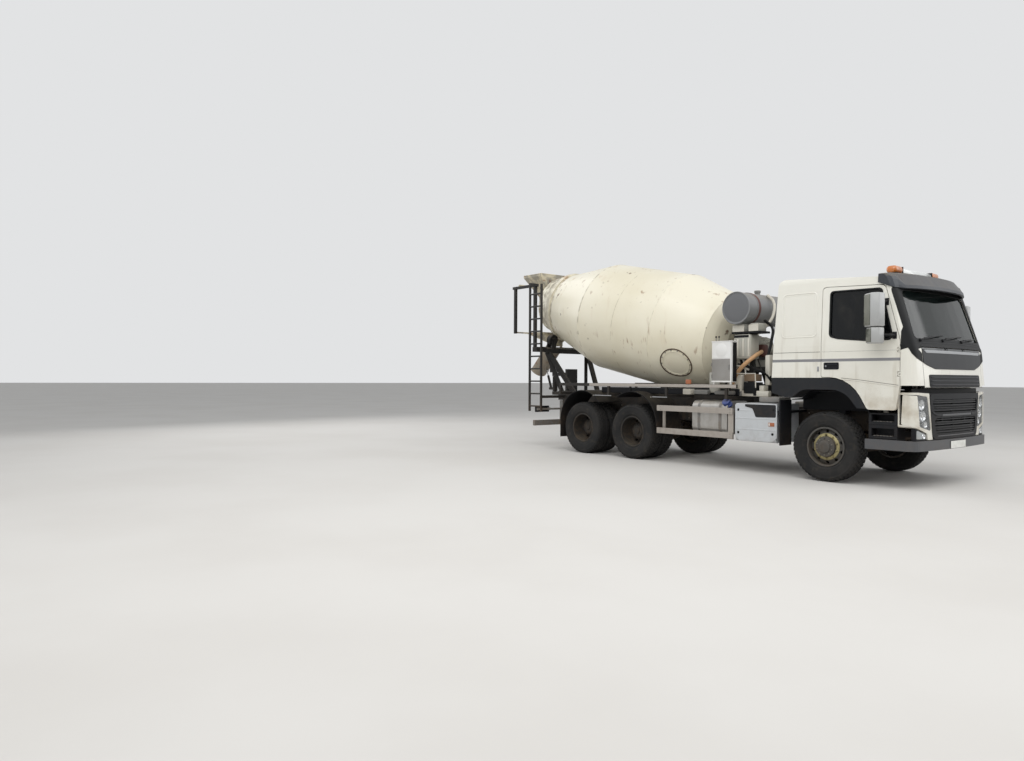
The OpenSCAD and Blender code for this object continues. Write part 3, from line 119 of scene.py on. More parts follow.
class Finish:
    """A material on Object coordinates: a base colour, 0 to 255 as seen on screen, with layers over it."""

    def __init__(self, name, colour, rough=0.5, metal=0.0, coat=0.0, gloss=0.5):
        self.material = bpy.data.materials.new(name)
        self.material.use_nodes = True
        self.tree = self.material.node_tree
        self.tree.nodes.clear()
        self.shader = self.tree.nodes.new("ShaderNodeBsdfPrincipled")
        out = self.tree.nodes.new("ShaderNodeOutputMaterial")
        self.tree.links.new(self.shader.outputs[0], out.inputs[0])
        self.colour, self.rough, self.bump = srgb(*colour), rough, None
        self.shader.inputs["Metallic"].default_value = metal
        self.shader.inputs["Coat Weight"].default_value = coat
        self.shader.inputs["Specular IOR Level"].default_value = gloss
        self.place = self.node("ShaderNodeTexCoord", {}, {}, out="Object")

    def node(self, kind, settings, inputs, out=0):
        made = self.tree.nodes.new(kind)
        for name, value in settings.items():
            if name == "stops":
                ramp = made.color_ramp
                while len(ramp.elements) < len(value):
                    ramp.elements.new(0.5)
                for element, (at, shade) in zip(ramp.elements, value):
                    element.position, element.color = at, shade
            else:
                setattr(made, name, value)
        for key, value in inputs.items():
            if isinstance(value, Wire):
                self.tree.links.new(value.socket, made.inputs[key])
            else:
                made.inputs[key].default_value = value
        return Wire(self, made.outputs[out])

    def axis(self, name):
        return self.node("ShaderNodeSeparateXYZ", {}, {0: self.place}, out=name)

    def stretched(self, scale):
        return self.node("ShaderNodeMapping", {}, {"Vector": self.place, "Scale": scale})

    def noise(self, scale, detail=4, stretch=None, seed=0.0):
        where = self.stretched(stretch) if stretch else self.place
        if seed:
            where = self.node("ShaderNodeVectorMath", {"operation": "ADD"}, {0: where, 1: (seed, seed * 1.7, -seed)})
        return self.node("ShaderNodeTexNoise", {}, {"Vector": where, "Scale": scale, "Detail": detail})

    def cells(self, scale, stretch=None):
        where = self.stretched(stretch) if stretch else self.place
        return self.node("ShaderNodeTexVoronoi", {}, {"Vector": where, "Scale": scale})

    def facing_up(self):
        normal = self.node("ShaderNodeNewGeometry", {}, {}, out="Normal")
        return self.node("ShaderNodeSeparateXYZ", {}, {0: normal}, out="Z")

    def over(self, mask, colour, rough=None):
        """Lays a colour over what is there, where the mask is 1."""
        self.colour = self.node("ShaderNodeMix", {"data_type": "RGBA"},
                                {0: mask, 6: self.colour, 7: srgb(*colour)}, out=2)
        if rough is not None:
            self.rough = self.rough + mask * (rough - self.rough) if isinstance(self.rough, Wire) \
                else mask * (rough - self.rough) + self.rough

    def raise_by(self, height, distance=0.001, strength=1.0):
        inputs = {"Height": height, "Distance": distance, "Strength": strength}
        if self.bump:
            inputs["Normal"] = self.bump
        self.bump = self.node("ShaderNodeBump", {}, inputs)

    def done(self):
        for key, value in (("Base Color", self.colour), ("Roughness", self.rough)):
            if isinstance(value, Wire):
                self.tree.links.new(value.socket, self.shader.inputs[key])
            else:
                self.shader.inputs[key].default_value = value
        if self.bump:
            self.tree.links.new(self.bump.socket, self.shader.inputs["Normal"])
        return self.material


MUD = (112, 90, 66)
DUST = (150, 136, 116)
RUST = (122, 66, 34)


def road_dirt(finish, amount, top=1.6, bottom=0.3, colour=MUD, rough=0.85):
    """Mud thrown up from the road: thicker low down, broken up by noise."""
    low_down = finish.axis("Z").smooth(top, bottom)
    patches = finish.noise(2.3, 6).smooth(0.35, 0.7) * 0.5 + finish.noise(14, 5).smooth(0.42, 0.62) * 0.5
    finish.over((low_down * patches * amount).held(), colour, rough)


def settled_dust(finish, amount, colour=DUST, rough=0.9):
    up = finish.facing_up().smooth(0.35, 0.95)
    finish.over((up * (finish.noise(6, 5).smooth(0.3, 0.7) * 0.6 + 0.4) * amount).held(), colour, rough)


def shifts(finish, colour, amount, scale=1.2):
    """Broad uneven tone."""
    finish.over((finish.noise(scale, 5, seed=3.1).smooth(0.35, 0.75) * amount).held(), colour)


def paint(name, colour, rough=0.4, metal=0.0, coat=0.0, tone=None, dirt=0.4, dust=0.3, grain=0.0004, top=1.6,
          gloss=0.5):
    made = Finish(name, colour, rough, metal, coat, gloss)
    if tone:
        shifts(made, tone, 0.6)
    road_dirt(made, dirt, top=top)
    settled_dust(made, dust)
    made.raise_by(made.noise(160, 3), grain, 0.6)
    return made.done()


def cab_paint(name="cab_paint_white", dark_above=None):
    made = Finish(name, (224, 222, 212), 0.28, coat=0.35)
    shifts(made, (205, 201, 188), 0.5, 0.9)
    streaks = made.noise(9, 5, stretch=(1, 1, 0.12), seed=1.3).smooth(0.52, 0.72)
    made.over((streaks * made.axis("Z").smooth(2.9, 1.3) * 0.35).held(), (158, 146, 124), 0.6)
    low = made.axis("Z").smooth(1.75, 1.1) * made.noise(5, 6).smooth(0.3, 0.75)
    made.over((low * 0.55).held(), (150, 132, 104), 0.75)
    specks = made.cells(55).smooth(0.16, 0.05) * made.axis("Z").smooth(2.1, 1.2) * made.noise(3, 3).smooth(0.45, 0.6)
    made.over((specks * 0.7).held(), (120, 100, 72), 0.8)
    stripe = made.axis("Z") - 1.828
    beside = abs(made.axis("Y")) > 1.19
    band = ((abs(stripe) < 0.021) * beside).held()
    made.over(band * (made.axis("X") < AXLE + 1.112), (126, 126, 128))
    settled_dust(made, 0.35, (178, 170, 152))
    if dark_above:
        made.over(made.axis("Z") > dark_above, (26, 28, 31), 0.4)
    made.raise_by(made.noise(240, 2), 0.0002, 0.5)
    made.raise_by(made.noise(2.2, 2), 0.004, 0.25)
    return made.done()


DRUM_FOOT = Vector((AXLE - 2.515, 0, 2.24))
DRUM_LEAN = math.radians(12.3)
# The drum's skin: length along the axis from its foot, and radius
DRUM_SKIN = [(0, 0.856), (1.068, 1.141), (3.042, 1.141), (4.961, 0.622)]
DRUM_AXIS = Vector((-math.cos(DRUM_LEAN), 0, math.sin(DRUM_LEAN)))


def drum_paint():
    made = Finish("drum_paint_cream", (228, 222, 202), 0.38, coat=0.15)
    shifts(made, (212, 203, 176), 0.7, 0.7)
    along = made.node("ShaderNodeVectorMath", {"operation": "DOT_PRODUCT"},
                      {0: made.node("ShaderNodeVectorMath", {"operation": "SUBTRACT"},
                                    {0: made.place, 1: tuple(DRUM_FOOT)}), 1: tuple(DRUM_AXIS)}, out="Value")
    broken = made.noise(7, 6, seed=2.0)
    for at, width, amount in ((2.05, 0.012, 0.35), (3.04, 0.03, 0.5), (1.068, 0.01, 0.3), (4.35, 0.06, 0.6)):
        seam = abs(along - at).smooth(width, width * 0.3)
        made.over((seam * broken.smooth(0.42, 0.6) * amount).held(), (120, 104, 84), 0.7)
    runs = made.noise(5, 6, stretch=(1, 1, 0.14), seed=5.0).smooth(0.6, 0.78)
    rear = along.smooth(2.7, 3.3)
    made.over((runs * (rear * 0.6 + 0.15)).held(), (176, 138, 96), 0.7)
    spots = made.noise(5, 4, seed=9.0).smooth(0.66, 0.74) * made.noise(1.3, 2, seed=4.0).smooth(0.44, 0.56)
    made.over((spots * 0.9).held(), (104, 82, 60), 0.8)
    tears = made.noise(11, 4, stretch=(1, 1, 0.16), seed=11.0).smooth(0.6, 0.76) \
        * made.noise(1.6, 2, seed=12.0).smooth(0.5, 0.6)
    made.over((tears * 0.7).held(), (140, 100, 66), 0.8)
    splash = made.noise(18, 4, seed=6.0).smooth(0.62, 0.72) * made.noise(1.9, 2, seed=8.0).smooth(0.55, 0.7)
    made.over((splash * 0.5).held(), (168, 160, 142), 0.8)
    mouth = along.smooth(4.2, 4.8) * made.noise(8, 6).smooth(0.35, 0.6)
    made.over((mouth * 0.75).held(), (128, 118, 102), 0.9)
    made.raise_by(made.noise(120, 3), 0.0005, 0.5)
    made.raise_by(made.noise(3, 3), 0.012, 0.22)
    return made.done()


def concrete_worn(name, colour):
    made = Finish(name, colour, 0.55)
    crust = made.noise(6, 8, seed=2.4)
    made.over((crust.smooth(0.42, 0.6) * 0.85).held(), (150, 145, 134), 0.92)
    made.over((made.noise(9, 6, seed=7.7).smooth(0.58, 0.68) * 0.7).held(), RUST, 0.85)
    made.raise_by(made.noise(30, 8), 0.004, 0.7)
    made.raise_by(crust.smooth(0.42, 0.6), 0.004, 0.6)
    return made.done()


def rubber_tread():
    made = Finish("tyre_rubber", (32, 32, 32), 0.78, gloss=0.25)
    shifts(made, (48, 46, 44), 0.8, 3)
    made.over((made.noise(9, 7, seed=3.0).smooth(0.52, 0.75) * 0.4).held(), (74, 68, 60), 0.92)
    made.raise_by(made.noise(90, 4), 0.0006, 0.6)
    return made.done()


def window_glass(name, tint, alpha):
    made = Finish(name, tint, 0.04, gloss=0.35)
    made.over((made.noise(3, 5).smooth(0.55, 0.8) * 0.08).held(), (120, 115, 104), 0.35)
    made.shader.inputs["Alpha"].default_value = alpha
    return made.done()


def lens(name, colour, alpha, rough=0.06):
    made = Finish(name, colour, rough, coat=0.8)
    made.over((made.noise(12, 5).smooth(0.5, 0.75) * 0.18).held(), DUST, 0.5)
    made.shader.inputs["Alpha"].default_value = alpha
    made.raise_by(made.noise(40, 1, stretch=(1, 8, 1)), 0.0008, 0.4)
    return made.done()


def tank_metal(name, colour, metal=0.6, rough=0.42, dirt=0.7):
    made = Finish(name, colour, rough, metal)
    made.over((made.noise(14, 5, stretch=(1, 1, 0.2)).smooth(0.45, 0.75) * dirt * 0.6).held(), (120, 112, 100), 0.7)
    road_dirt(made, dirt, top=1.3)
    settled_dust(made, 0.4)
    made.raise_by(made.noise(200, 2, stretch=(0.15, 1, 1)), 0.0004, 0.5)
    return made.done()


FINISHES = {
    "cab": cab_paint(),
    "hatch": cab_paint("hatch_paint_white", 1.955),
    "drum": drum_paint(),
    "hopper": concrete_worn("hopper_paint", (206, 196, 170)),
    "chute": concrete_worn("chute_steel", (150, 138, 122)),
    "chassis": paint("chassis_paint", (40, 39, 38), 0.55, tone=(52, 48, 44), dirt=0.45, dust=0.35, gloss=0.25),
    "cast": paint("cast_steel", (42, 39, 37), 0.7, tone=(62, 52, 44), dirt=0.55, dust=0.4, grain=0.0012, gloss=0.3),
    "bumper": paint("bumper_plastic", (76, 77, 79), 0.5, dirt=0.25, dust=0.15, top=0.9),
    "trim": paint("black_trim", (22, 23, 26), 0.5, dirt=0.06, dust=0.05, top=1.3, gloss=0.2),
    "panel": paint("panel_gloss", (26, 28, 31), 0.4, dirt=0.05, dust=0.04, top=1.7, gloss=0.25),
    "grey_trim": paint("grey_trim", (34, 36, 39), 0.55, tone=(44, 45, 47), dirt=0.2, dust=0.1, top=1.8, gloss=0.2),
    "visor": paint("visor_plastic", (50, 53, 58), 0.4, tone=(60, 63, 67), dirt=0.0, dust=0.35, gloss=0.4),
    "steps": paint("step_plastic", (27, 28, 31), 0.55, dirt=0.2, dust=0.12, top=1.1, gloss=0.2),
    "flap": paint("flap_rubber", (24, 24, 25), 0.7, dirt=0.25, dust=0.15, top=1.2, gloss=0.2),
    "guard": tank_metal("guard_aluminium", (168, 161, 153), 0.3, 0.5, dirt=0.3),
    "tank": tank_metal("tank_aluminium", (180, 178, 174), 0.7, 0.28, dirt=0.35),
    "steel": paint("grey_steel", (124, 124, 122), 0.5, tone=(104, 98, 90), dirt=0.7, dust=0.4),
    "reflex": paint("side_reflector", (160, 96, 64), 0.3, dirt=0.3, dust=0.1),
    "hatch_ring": paint("hatch_seal", (66, 48, 32), 0.7, tone=(86, 66, 42), dirt=0.3, dust=0.2),
    "battery": paint("battery_cover", (188, 191, 193), 0.42, tone=(166, 167, 166), dirt=0.35, dust=0.2, top=1.0),
    "water": paint("water_tank_paint", (126, 127, 128), 0.42, tone=(100, 101, 102), dirt=0.1, dust=0.35),
    "water_end": paint("tank_end_paint", (98, 99, 101), 0.45, dirt=0.1, dust=0.1),
    "gear": paint("gearbox_paint", (176, 175, 166), 0.5, tone=(132, 126, 112), dirt=0.35, dust=0.3, top=2.2),
    "pale": paint("pale_steel", (206, 202, 190), 0.5, tone=(160, 150, 134), dirt=0.3, dust=0.3),
    "cooler": paint("cooler_paint", (184, 182, 172), 0.5, tone=(120, 118, 106), dirt=0.2, dust=0.3, top=2.2),
    "rust_box": paint("brown_box", (128, 108, 86), 0.6, tone=(96, 80, 64), dirt=0.3, dust=0.3),
    "box": paint("box_paint", (226, 226, 224), 0.35, coat=0.2, tone=(206, 202, 194), dirt=0.1, dust=0.2),
    "box_grey": paint("box_lower", (146, 144, 140), 0.5, tone=(104, 99, 94), dirt=0.5, dust=0.3, top=2.2),
    "seat": paint("seat_cloth", (34, 35, 39), 0.9, dirt=0.0, dust=0.1, grain=0.001, gloss=0.2),
    "tyre": rubber_tread(),
    "rim": paint("rim_paint", (76, 75, 72), 0.5, tone=(58, 55, 52), dirt=0.3, dust=0.2, top=0.9, gloss=0.3),
    "rim_gold": paint("hub_ring_paint", (168, 158, 112), 0.45, metal=0.3, tone=(122, 114, 88), dirt=0.4,
                      dust=0.3, top=0.9),
    "rim_dark": paint("rim_dark_paint", (40, 40, 39), 0.6, tone=(56, 52, 48), dirt=0.3, dust=0.2, top=1.1, gloss=0.3),
    "chrome": paint("polished_rod", (196, 196, 198), 0.12, metal=1.0, dirt=0.1, dust=0.1, grain=0.0001),
    "silver": paint("silver_strip", (150, 152, 154), 0.3, metal=0.5, dirt=0.0, dust=0.2),
    "mirror": paint("mirror_shell", (166, 167, 166), 0.35, coat=0.2, tone=(146, 146, 143), dirt=0.1, dust=0.2),
    "red_brown": paint("red_brown_paint", (92, 50, 42), 0.55, tone=(60, 36, 30), dirt=0.3, dust=0.3, top=2.6),
    "hose": paint("tan_hose", (192, 152, 110), 0.65, tone=(160, 126, 92), dirt=0.3, dust=0.3, top=2.6),
    "bolt": paint("zinc_bolts", (150, 148, 140), 0.4, metal=0.7, dirt=0.5, dust=0.3, top=1.2),
    "seal": paint("seal_rubber", (18, 19, 20), 0.55, dirt=0.05, dust=0.04, gloss=0.2),
    "plate": paint("plate_white", (226, 226, 220), 0.35, dirt=0.4, dust=0.1, top=0.9),
    "plate_rear": paint("plate_yellow", (214, 176, 40), 0.35, dirt=0.4, dust=0.1, top=1.2),
    "reflector": paint("lamp_reflector", (206, 208, 210), 0.16, metal=0.9, dirt=0.05, dust=0.0, grain=0.0001),
    "blue": paint("cap_blue", (40, 66, 128), 0.4, dirt=0.3, dust=0.4),
    "glass": window_glass("window_tint", (12, 14, 16), 0.88),
    "screen": window_glass("screen_tint", (22, 29, 28), 0.8),
    "lamp": lens("lamp_clear", (196, 198, 198), 0.16),
    "amber": lens("lens_amber", (188, 108, 44), 1.0, 0.3),
    "bar": lens("light_bar", (214, 216, 214), 1.0, 0.25),
    "mirror_glass": paint("mirror_glass", (96, 98, 90), 0.12, metal=0.5, dirt=0.1, dust=0.0),
    # Grey for painted shade along the top of the door's crease.
    "crease_shade_grey": paint("crease_shade_grey", (132, 128, 120), 0.6, dirt=0.1, dust=0.0),
    "strip": paint("grey_strip", (146, 148, 150), 0.35, dirt=0.05, dust=0.05),
    "red": lens("lens_red", (150, 18, 14), 1.0, 0.15),
    "clear": lens("lens_white", (214, 214, 208), 1.0, 0.15),
    "fog": lens("lens_fog", (150, 154, 154), 1.0, 0.2),
}

NODE_FINISHES = {
    "chassis": "frame subframe front_pedestal rear_pedestal chute_arm ram_barrel",
    "cast": "leaf_springs front_axle rear_axles engine knuckle_l knuckle_r tie_rod",
    "cab": "lamp_surrounds cab_tub cab_sides cab_roof cab_front door_l door_r",
    "bumper": "bumper", "trim": "lower_grille", "lamp": "lamps", "steps": "cab_steps", "tank": "tanks",
    "battery": "battery_box", "guard": "side_guards", "flap": "rear_mudguards", "steel": "exhaust rear_bumper",
    "gear": "drum_gearbox", "water": "water_tank", "box": "control_box beacon_bar", "hopper": "hopper",
    "screen": "windscreen", "visor": "sun_visor", "grey_trim": "wheel_arches", "seat": "cab_interior",
    "panel": "front_hatch", "glass": "door_glass_l door_glass_r", "mirror": "mirror_l mirror_r",
    "rim": "rim_front_l rim_front_r", "tyre": "tyre_front_l tyre_front_r", "drum": "drum", "chute": "chute",
    "chrome": "ram_rod",
}


def finish_nodes():
    kinds = {name: kind for kind, names in NODE_FINISHES.items() for name in names.split()}
    for name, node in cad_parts.items():
        node.data.materials.clear()
        node.data.materials.append(FINISHES[kinds.get(name, "tyre" if name.startswith("tyres") else "rim_dark")])


# Shapes, made with Blender's own tools

def only(*objects):
    if bpy.context.object and bpy.context.object.mode != "OBJECT":
        bpy.ops.object.mode_set(mode="OBJECT")
    bpy.ops.object.select_all(action="DESELECT")
    for o in objects:
        o.select_set(True)
    if objects:
        bpy.context.view_layer.objects.active = objects[0]


def settled(o, finish):
    """Turns a shape into a mesh, fixes its place in the mesh and paints it."""
    only(o)
    if o.type != "MESH":
        bpy.ops.object.convert(target="MESH")
        o = bpy.context.object
    bpy.ops.object.transform_apply(location=True, rotation=True, scale=True)
    o.data.materials.clear()
    o.data.materials.append(FINISHES[finish])
    return o


def edit(o, *steps):
    """Runs edit-mode steps on the whole shape."""
    only(o)
    bpy.ops.object.mode_set(mode="EDIT")
    bpy.ops.mesh.select_all(action="SELECT")
    for step in steps:
        step()
    bpy.ops.object.mode_set(mode="OBJECT")
    return o


def outward():
    bpy.ops.mesh.remove_doubles(threshold=0.00005)
    bpy.ops.mesh.normals_make_consistent(inside=False)


def sliced(o, lo, hi, cuts):
    """Cuts a shape into slices along Y, so that it can follow a curve."""
    for k in range(1, cuts + 1):
        y = lo + (hi - lo) * k / (cuts + 1)
        edit(o, lambda: bpy.ops.mesh.bisect(plane_co=(0, y, 0), plane_no=(0, 1, 0)))
    return o


def block(lo, hi, finish, edge=0.004, segments=2, cuts=0):
    """A box with rounded edges."""
    only()
    bpy.ops.mesh.primitive_cube_add(size=1, location=[(a + b) / 2 for a, b in zip(lo, hi)])
    o = bpy.context.object
    o.scale = [b - a for a, b in zip(lo, hi)]
    o = settled(o, finish)
    edge = min(edge, 0.45 * min(b - a for a, b in zip(lo, hi)))
    edit(o, lambda: bpy.ops.mesh.bevel(offset=edge, segments=segments, affect="EDGES"))
    return sliced(o, lo[1], hi[1], cuts)


def blocks(*rows):
    """Boxes from rows of x0, y0, z0, x1, y1, z1, finish, edge and segments."""
    return [block(row[:3], row[3:6], *row[6:]) for row in rows]


def line(points, soft=False, closed=False, **how):
    data = bpy.data.curves.new("line", "CURVE")
    data.dimensions = how.pop("dimensions", "3D")
    for name, value in how.items():
        setattr(data, name, value)
    if soft:
        spline = data.splines.new("BEZIER")
        spline.bezier_points.add(len(points) - 1)
        for at, point in zip(points, spline.bezier_points):
            point.co = at
            point.handle_left_type = point.handle_right_type = "AUTO"
    else:
        spline = data.splines.new("POLY")
        spline.points.add(len(points) - 1)
        for at, point in zip(points, spline.points):
            point.co = (*at, 1)
    spline.use_cyclic_u = closed
    o = bpy.data.objects.new("line", data)
    bpy.context.collection.objects.link(o)
    return o


def tube(points, radius, finish, soft=False, closed=False):
    return settled(line(points, soft, closed, bevel_depth=radius, bevel_resolution=3, use_fill_caps=not closed,
                        resolution_u=8), finish)


def rounded(rows, steps=4):
    """Points of an outline from rows of (x, y, corner radius)."""
    points = []
    for k, (x, y, r) in enumerate(rows):
        here = Vector((x, y))
        if r <= 0:
            points.append(here)
            continue
        before = (Vector(rows[k - 1][:2]) - here).normalized()
        after = (Vector(rows[(k + 1) % len(rows)][:2]) - here).normalized()
        half = math.acos(max(-1, min(1, before.dot(after)))) / 2
        centre = here + (before + after).normalized() * r / math.sin(half)
        first = here + before * r / math.tan(half) - centre
        last = here + after * r / math.tan(half) - centre
        start = math.atan2(first.y, first.x)
        swing = (math.atan2(last.y, last.x) - start + math.pi) % (2 * math.pi) - math.pi
        for n in range(steps + 1):
            angle = start + swing * n / steps
            points.append(centre + r * Vector((math.cos(angle), math.sin(angle))))
    return points


TURNS = {"side": (math.pi / 2, 0, 0), "front": (math.pi / 2, 0, math.pi / 2), "top": (0, 0, 0)}


def plate(rows, plane, at, thick, finish, edge=0.003, holes=(), cuts=0):
    """A flat outline with rounded edges: plane "side" reads (x, z) at y, "front" (y, z) at x, "top" (x, y) at z."""
    o = line([(*p, 0) for p in rounded(rows)], closed=True, dimensions="2D", fill_mode="BOTH",
             extrude=max(thick / 2 - edge, 0.0002), bevel_depth=edge, bevel_resolution=1, offset=-edge)
    for hole in holes:
        spline = o.data.splines.new("POLY")
        inner = rounded(hole)
        spline.points.add(len(inner) - 1)
        for p, point in zip(inner, spline.points):
            point.co = (*p, 0, 1)
        spline.use_cyclic_u = True
    o.rotation_euler = TURNS[plane]
    o.location = {"side": (0, at, 0), "front": (at, 0, 0), "top": (0, 0, at)}[plane]
    o = settled(o, finish)
    across = [v.co.y for v in o.data.vertices]
    return sliced(o, min(across), max(across), cuts)


def turned(profile, finish, at=(0, 0, 0), axis=(0, 1, 0), steps=48, closed=True):
    """A profile of (radius, distance along the axis), spun round the axis."""
    o = settled(line([(r, 0, a) for r, a in profile], closed=closed), finish)
    edit(o, lambda: bpy.ops.mesh.spin(steps=steps, angle=2 * math.pi, center=(0, 0, 0), axis=(0, 0, 1)), outward)
    o.rotation_euler = Vector(axis).to_track_quat("Z", "Y").to_euler()
    o.location = at
    return settled(o, finish)


def domed(profile, finish, at=(0, 0, 0), axis=(0, 1, 0), steps=48):
    """A turned shape whose profile starts or ends on the axis."""
    return turned(profile, finish, at, axis, steps, closed=False)


def around(o, count, centre=(0, 0, 0), axis=(0, 1, 0)):
    """Copies a shape round an axis, in one mesh."""
    return edit(o, lambda: bpy.ops.mesh.spin(steps=count, angle=2 * math.pi, center=centre, axis=axis, dupli=True),
                lambda: bpy.ops.mesh.remove_doubles(threshold=0.00001))


def hexagon(at, axis, radius, height, finish):
    """A nut with its chamfered top."""
    only()
    bpy.ops.mesh.primitive_cylinder_add(vertices=6, radius=radius, depth=height)
    o = bpy.context.object
    edit(o, lambda: bpy.ops.mesh.bevel(offset=radius * 0.12, segments=1, affect="EDGES"))
    o.rotation_euler = Vector(axis).to_track_quat("Z", "Y").to_euler()
    o.location = at
    return settled(o, finish)


def applied(o):
    only(o)
    bpy.ops.object.transform_apply(location=True, rotation=True, scale=True)
    return o


def moved(o, shift=(0, 0, 0), flip=False):
    """A copy, shifted, or on the other side of the truck."""
    only(o)
    bpy.ops.object.duplicate(linked=False)
    new = bpy.context.object
    new.location = shift
    if flip:
        new.scale = (1, -1, 1)
    applied(new)
    if flip:
        edit(new, lambda: bpy.ops.mesh.normals_make_consistent(inside=False))
    return new


def joined(*shapes):
    only(*shapes)
    if len(shapes) > 1:
        bpy.ops.object.join()
    return bpy.context.object


def removed(*shapes):
    for o in shapes:
        bpy.data.objects.remove(o)


def shaped(o, rule):
    """Moves every point of a shape by a rule."""
    for v in o.data.vertices:
        v.co = rule(v.co)
    return o


def piece(name, body, slot, *shapes, replaces=(), angle=35):
    """Joins shapes, placed from the front axle, into one named piece on its body."""
    o = joined(*shapes)
    o.location.x += AXLE
    bpy.ops.object.transform_apply(location=True, rotation=True, scale=True)
    bpy.ops.object.shade_smooth_by_angle(angle=math.radians(angle))
    o.name = o.data.name = name
    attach(o, body)
    if replaces:
        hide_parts(*replaces)
    return o


# Faces of the cab that pieces lie on

BOW_RADIUS = 12


def bow(y):
    return BOW_RADIUS - math.sqrt(BOW_RADIUS ** 2 - y * y)


class Plan:
    """The cab's front from above: points from the middle round the corner to the side, half wide, corner radius r."""

    def __init__(self, half, r):
        rows = rounded([(-bow(0.9), 0.9, 0), (-0.062, half, r), (-2.0, half, 0)], 5)
        self.points = [Vector((-bow(y), y)) for y in (0.0, 0.3, 0.6)] + rows
        self.lengths = [0.0]
        for a, b in zip(self.points, self.points[1:]):
            self.lengths.append(self.lengths[-1] + (b - a).length)
        steps = [(b - a).normalized() for a, b in zip(self.points, self.points[1:])]
        normals = [Vector((d.y, -d.x)) for d in steps]
        self.normals = [Vector((1, 0))] + [(a + b).normalized() for a, b in zip(normals, normals[1:])] + [normals[-1]]

    def at(self, u, out):
        """The place at length u from the middle, out ahead of the face."""
        far = min(abs(u), self.lengths[-1] - 1e-6)
        k = next(k for k in range(len(self.lengths) - 1) if far <= self.lengths[k + 1])
        share = (far - self.lengths[k]) / (self.lengths[k + 1] - self.lengths[k])
        spot = self.points[k].lerp(self.points[k + 1], share) + self.normals[k].lerp(self.normals[k + 1], share) * out
        return spot.x, math.copysign(spot.y, u)


CAB_PLAN = Plan(CAB_HALF, 0.14)
LAMP_PLAN = Plan(1.188, 0.083)
# The flat nose below the cab, ahead of the front axle
NOSE_X = 1.365
NOSE_LEAN = math.tan(math.radians(5))
SCREEN_LEAN = math.radians(17.66)


def front_x(z):
    """The cab's front face on its middle line."""
    return min(1.38 - NOSE_LEAN * (z - 1.43), SCREEN_X - math.tan(SCREEN_LEAN) * (z - SCREEN_Z))


def side_y(z):
    return CAB_HALF - max(0, z - SHOULDER_Z) * (CAB_HALF - ROOF_HALF) / ROOF_RISE


def on_front(o):
    """Wraps a shape, drawn against a flat face at x = 0, round the cab's leaning front."""
    def rule(p):
        x, y = CAB_PLAN.at(p.y, p.x)
        return Vector((x + front_x(p.z), y, p.z))
    return shaped(o, rule)


def on_screen(o):
    """Wraps a shape, drawn against x = 0 with z up the glass, round the windscreen's leaning face."""
    def rule(p):
        x, y = CAB_PLAN.at(p.y, p.x)
        z = SCREEN_Z + math.cos(SCREEN_LEAN) * p.z + math.sin(SCREEN_LEAN) * x
        edge = side_y(z) + max(0, p.x)
        x = SCREEN_X - math.sin(SCREEN_LEAN) * p.z + math.cos(SCREEN_LEAN) * x
        return Vector((x, max(-edge, min(edge, y)), z))
    return shaped(o, rule)


def on_lamp(o):
    """Wraps a shape, drawn against x = 0, round the face of the lamps' corners."""
    def rule(p):
        x, y = LAMP_PLAN.at(p.y, p.x)
        return Vector((x + NOSE_X, y, p.z))
    return shaped(o, rule)


def on_side(o):
    """Lays a shape, drawn against a flat face at y = -1.245, on the cab's right side."""
    return shaped(o, lambda p: Vector((p.x, p.y + CAB_HALF - side_y(p.z), p.z)))


# Wheels

TYRE_HALF = [(0.2865, 0.1135), (0.304, 0.1165), (0.313, 0.131), (0.328, 0.1395), (0.338, 0.1455), (0.346, 0.1445),
             (0.372, 0.152), (0.402, 0.157), (0.440, 0.1568), (0.462, 0.1535), (0.468, 0.1560), (0.476, 0.1555),
             (0.482, 0.1500), (0.496, 0.1445), (0.505, 0.1395), (0.511, 0.130), (0.5125, 0.118)]
# Rows of tread blocks: middle from the tyre's middle, width, lead round the tyre in degrees, skew
TREAD = [(-0.1155, 0.050, 0.0, 0.010), (-0.057, 0.050, 3.75, -0.012), (0.0, 0.046, 0.0, 0.012),
         (0.057, 0.050, 3.75, -0.012), (0.1155, 0.050, 0.0, 0.010)]
PITCHES = 48
SIDES = (("l", 1), ("r", -1))
NUTS, NUT_RING = 10, 0.176


def tyre_shape():
    whole = TYRE_HALF + [(0.5125, 0.0)] + [(r, -y) for r, y in reversed(TYRE_HALF)]
    carcass = turned(whole, "tyre", axis=(0, 1, 0), steps=72)
    ribs = []
    for middle, width, lead, skew in TREAD:
        outer = abs(middle) > 0.1
        one = block((-0.0255, middle - width / 2, 0.505), (0.0255, middle + width / 2, 0.5268), "tyre", 0.0025, 1)
        shaped(one, lambda p: Vector((p.x + skew * (p.y - middle) / width * 2, p.y,
                                      p.z - (0.010 if outer and abs(p.y) > abs(middle) + 0.01 and p.z > 0.52 else 0))))
        one.rotation_euler = (0, math.radians(lead), 0)
        applied(one)
        ribs.append(around(one, PITCHES))
    shoulder = []
    for side in (-1, 1):
        lug = block((-0.010, side * 0.1395 - 0.006, 0.478), (0.010, side * 0.1395 + 0.006, 0.512), "tyre", 0.002, 1)
        shoulder.append(around(lug, PITCHES))
    return joined(carcass, *ribs, *shoulder)


def fit_tyres():
    master = tyre_shape()
    for side, sign in SIDES:
        one = moved(master, (0, sign * WHEEL_Y, AXLE_Z))
        piece(f"tread_front_{side}", f"wheel_f{side}", "tyre", one, replaces=[f"tyre_front_{side}"])
        for axle, x in REAR_AXLES.items():
            pair = [moved(master, (x, sign * y, AXLE_Z)) for y in (WHEEL_Y, WHEEL_Y - TWIN)]
            piece(f"treads_rear{axle}_{side}", f"wheels_r{axle}{side}", "tyre", *pair,
                  replaces=[f"tyres_rear{axle}_{side}"])
    removed(master)


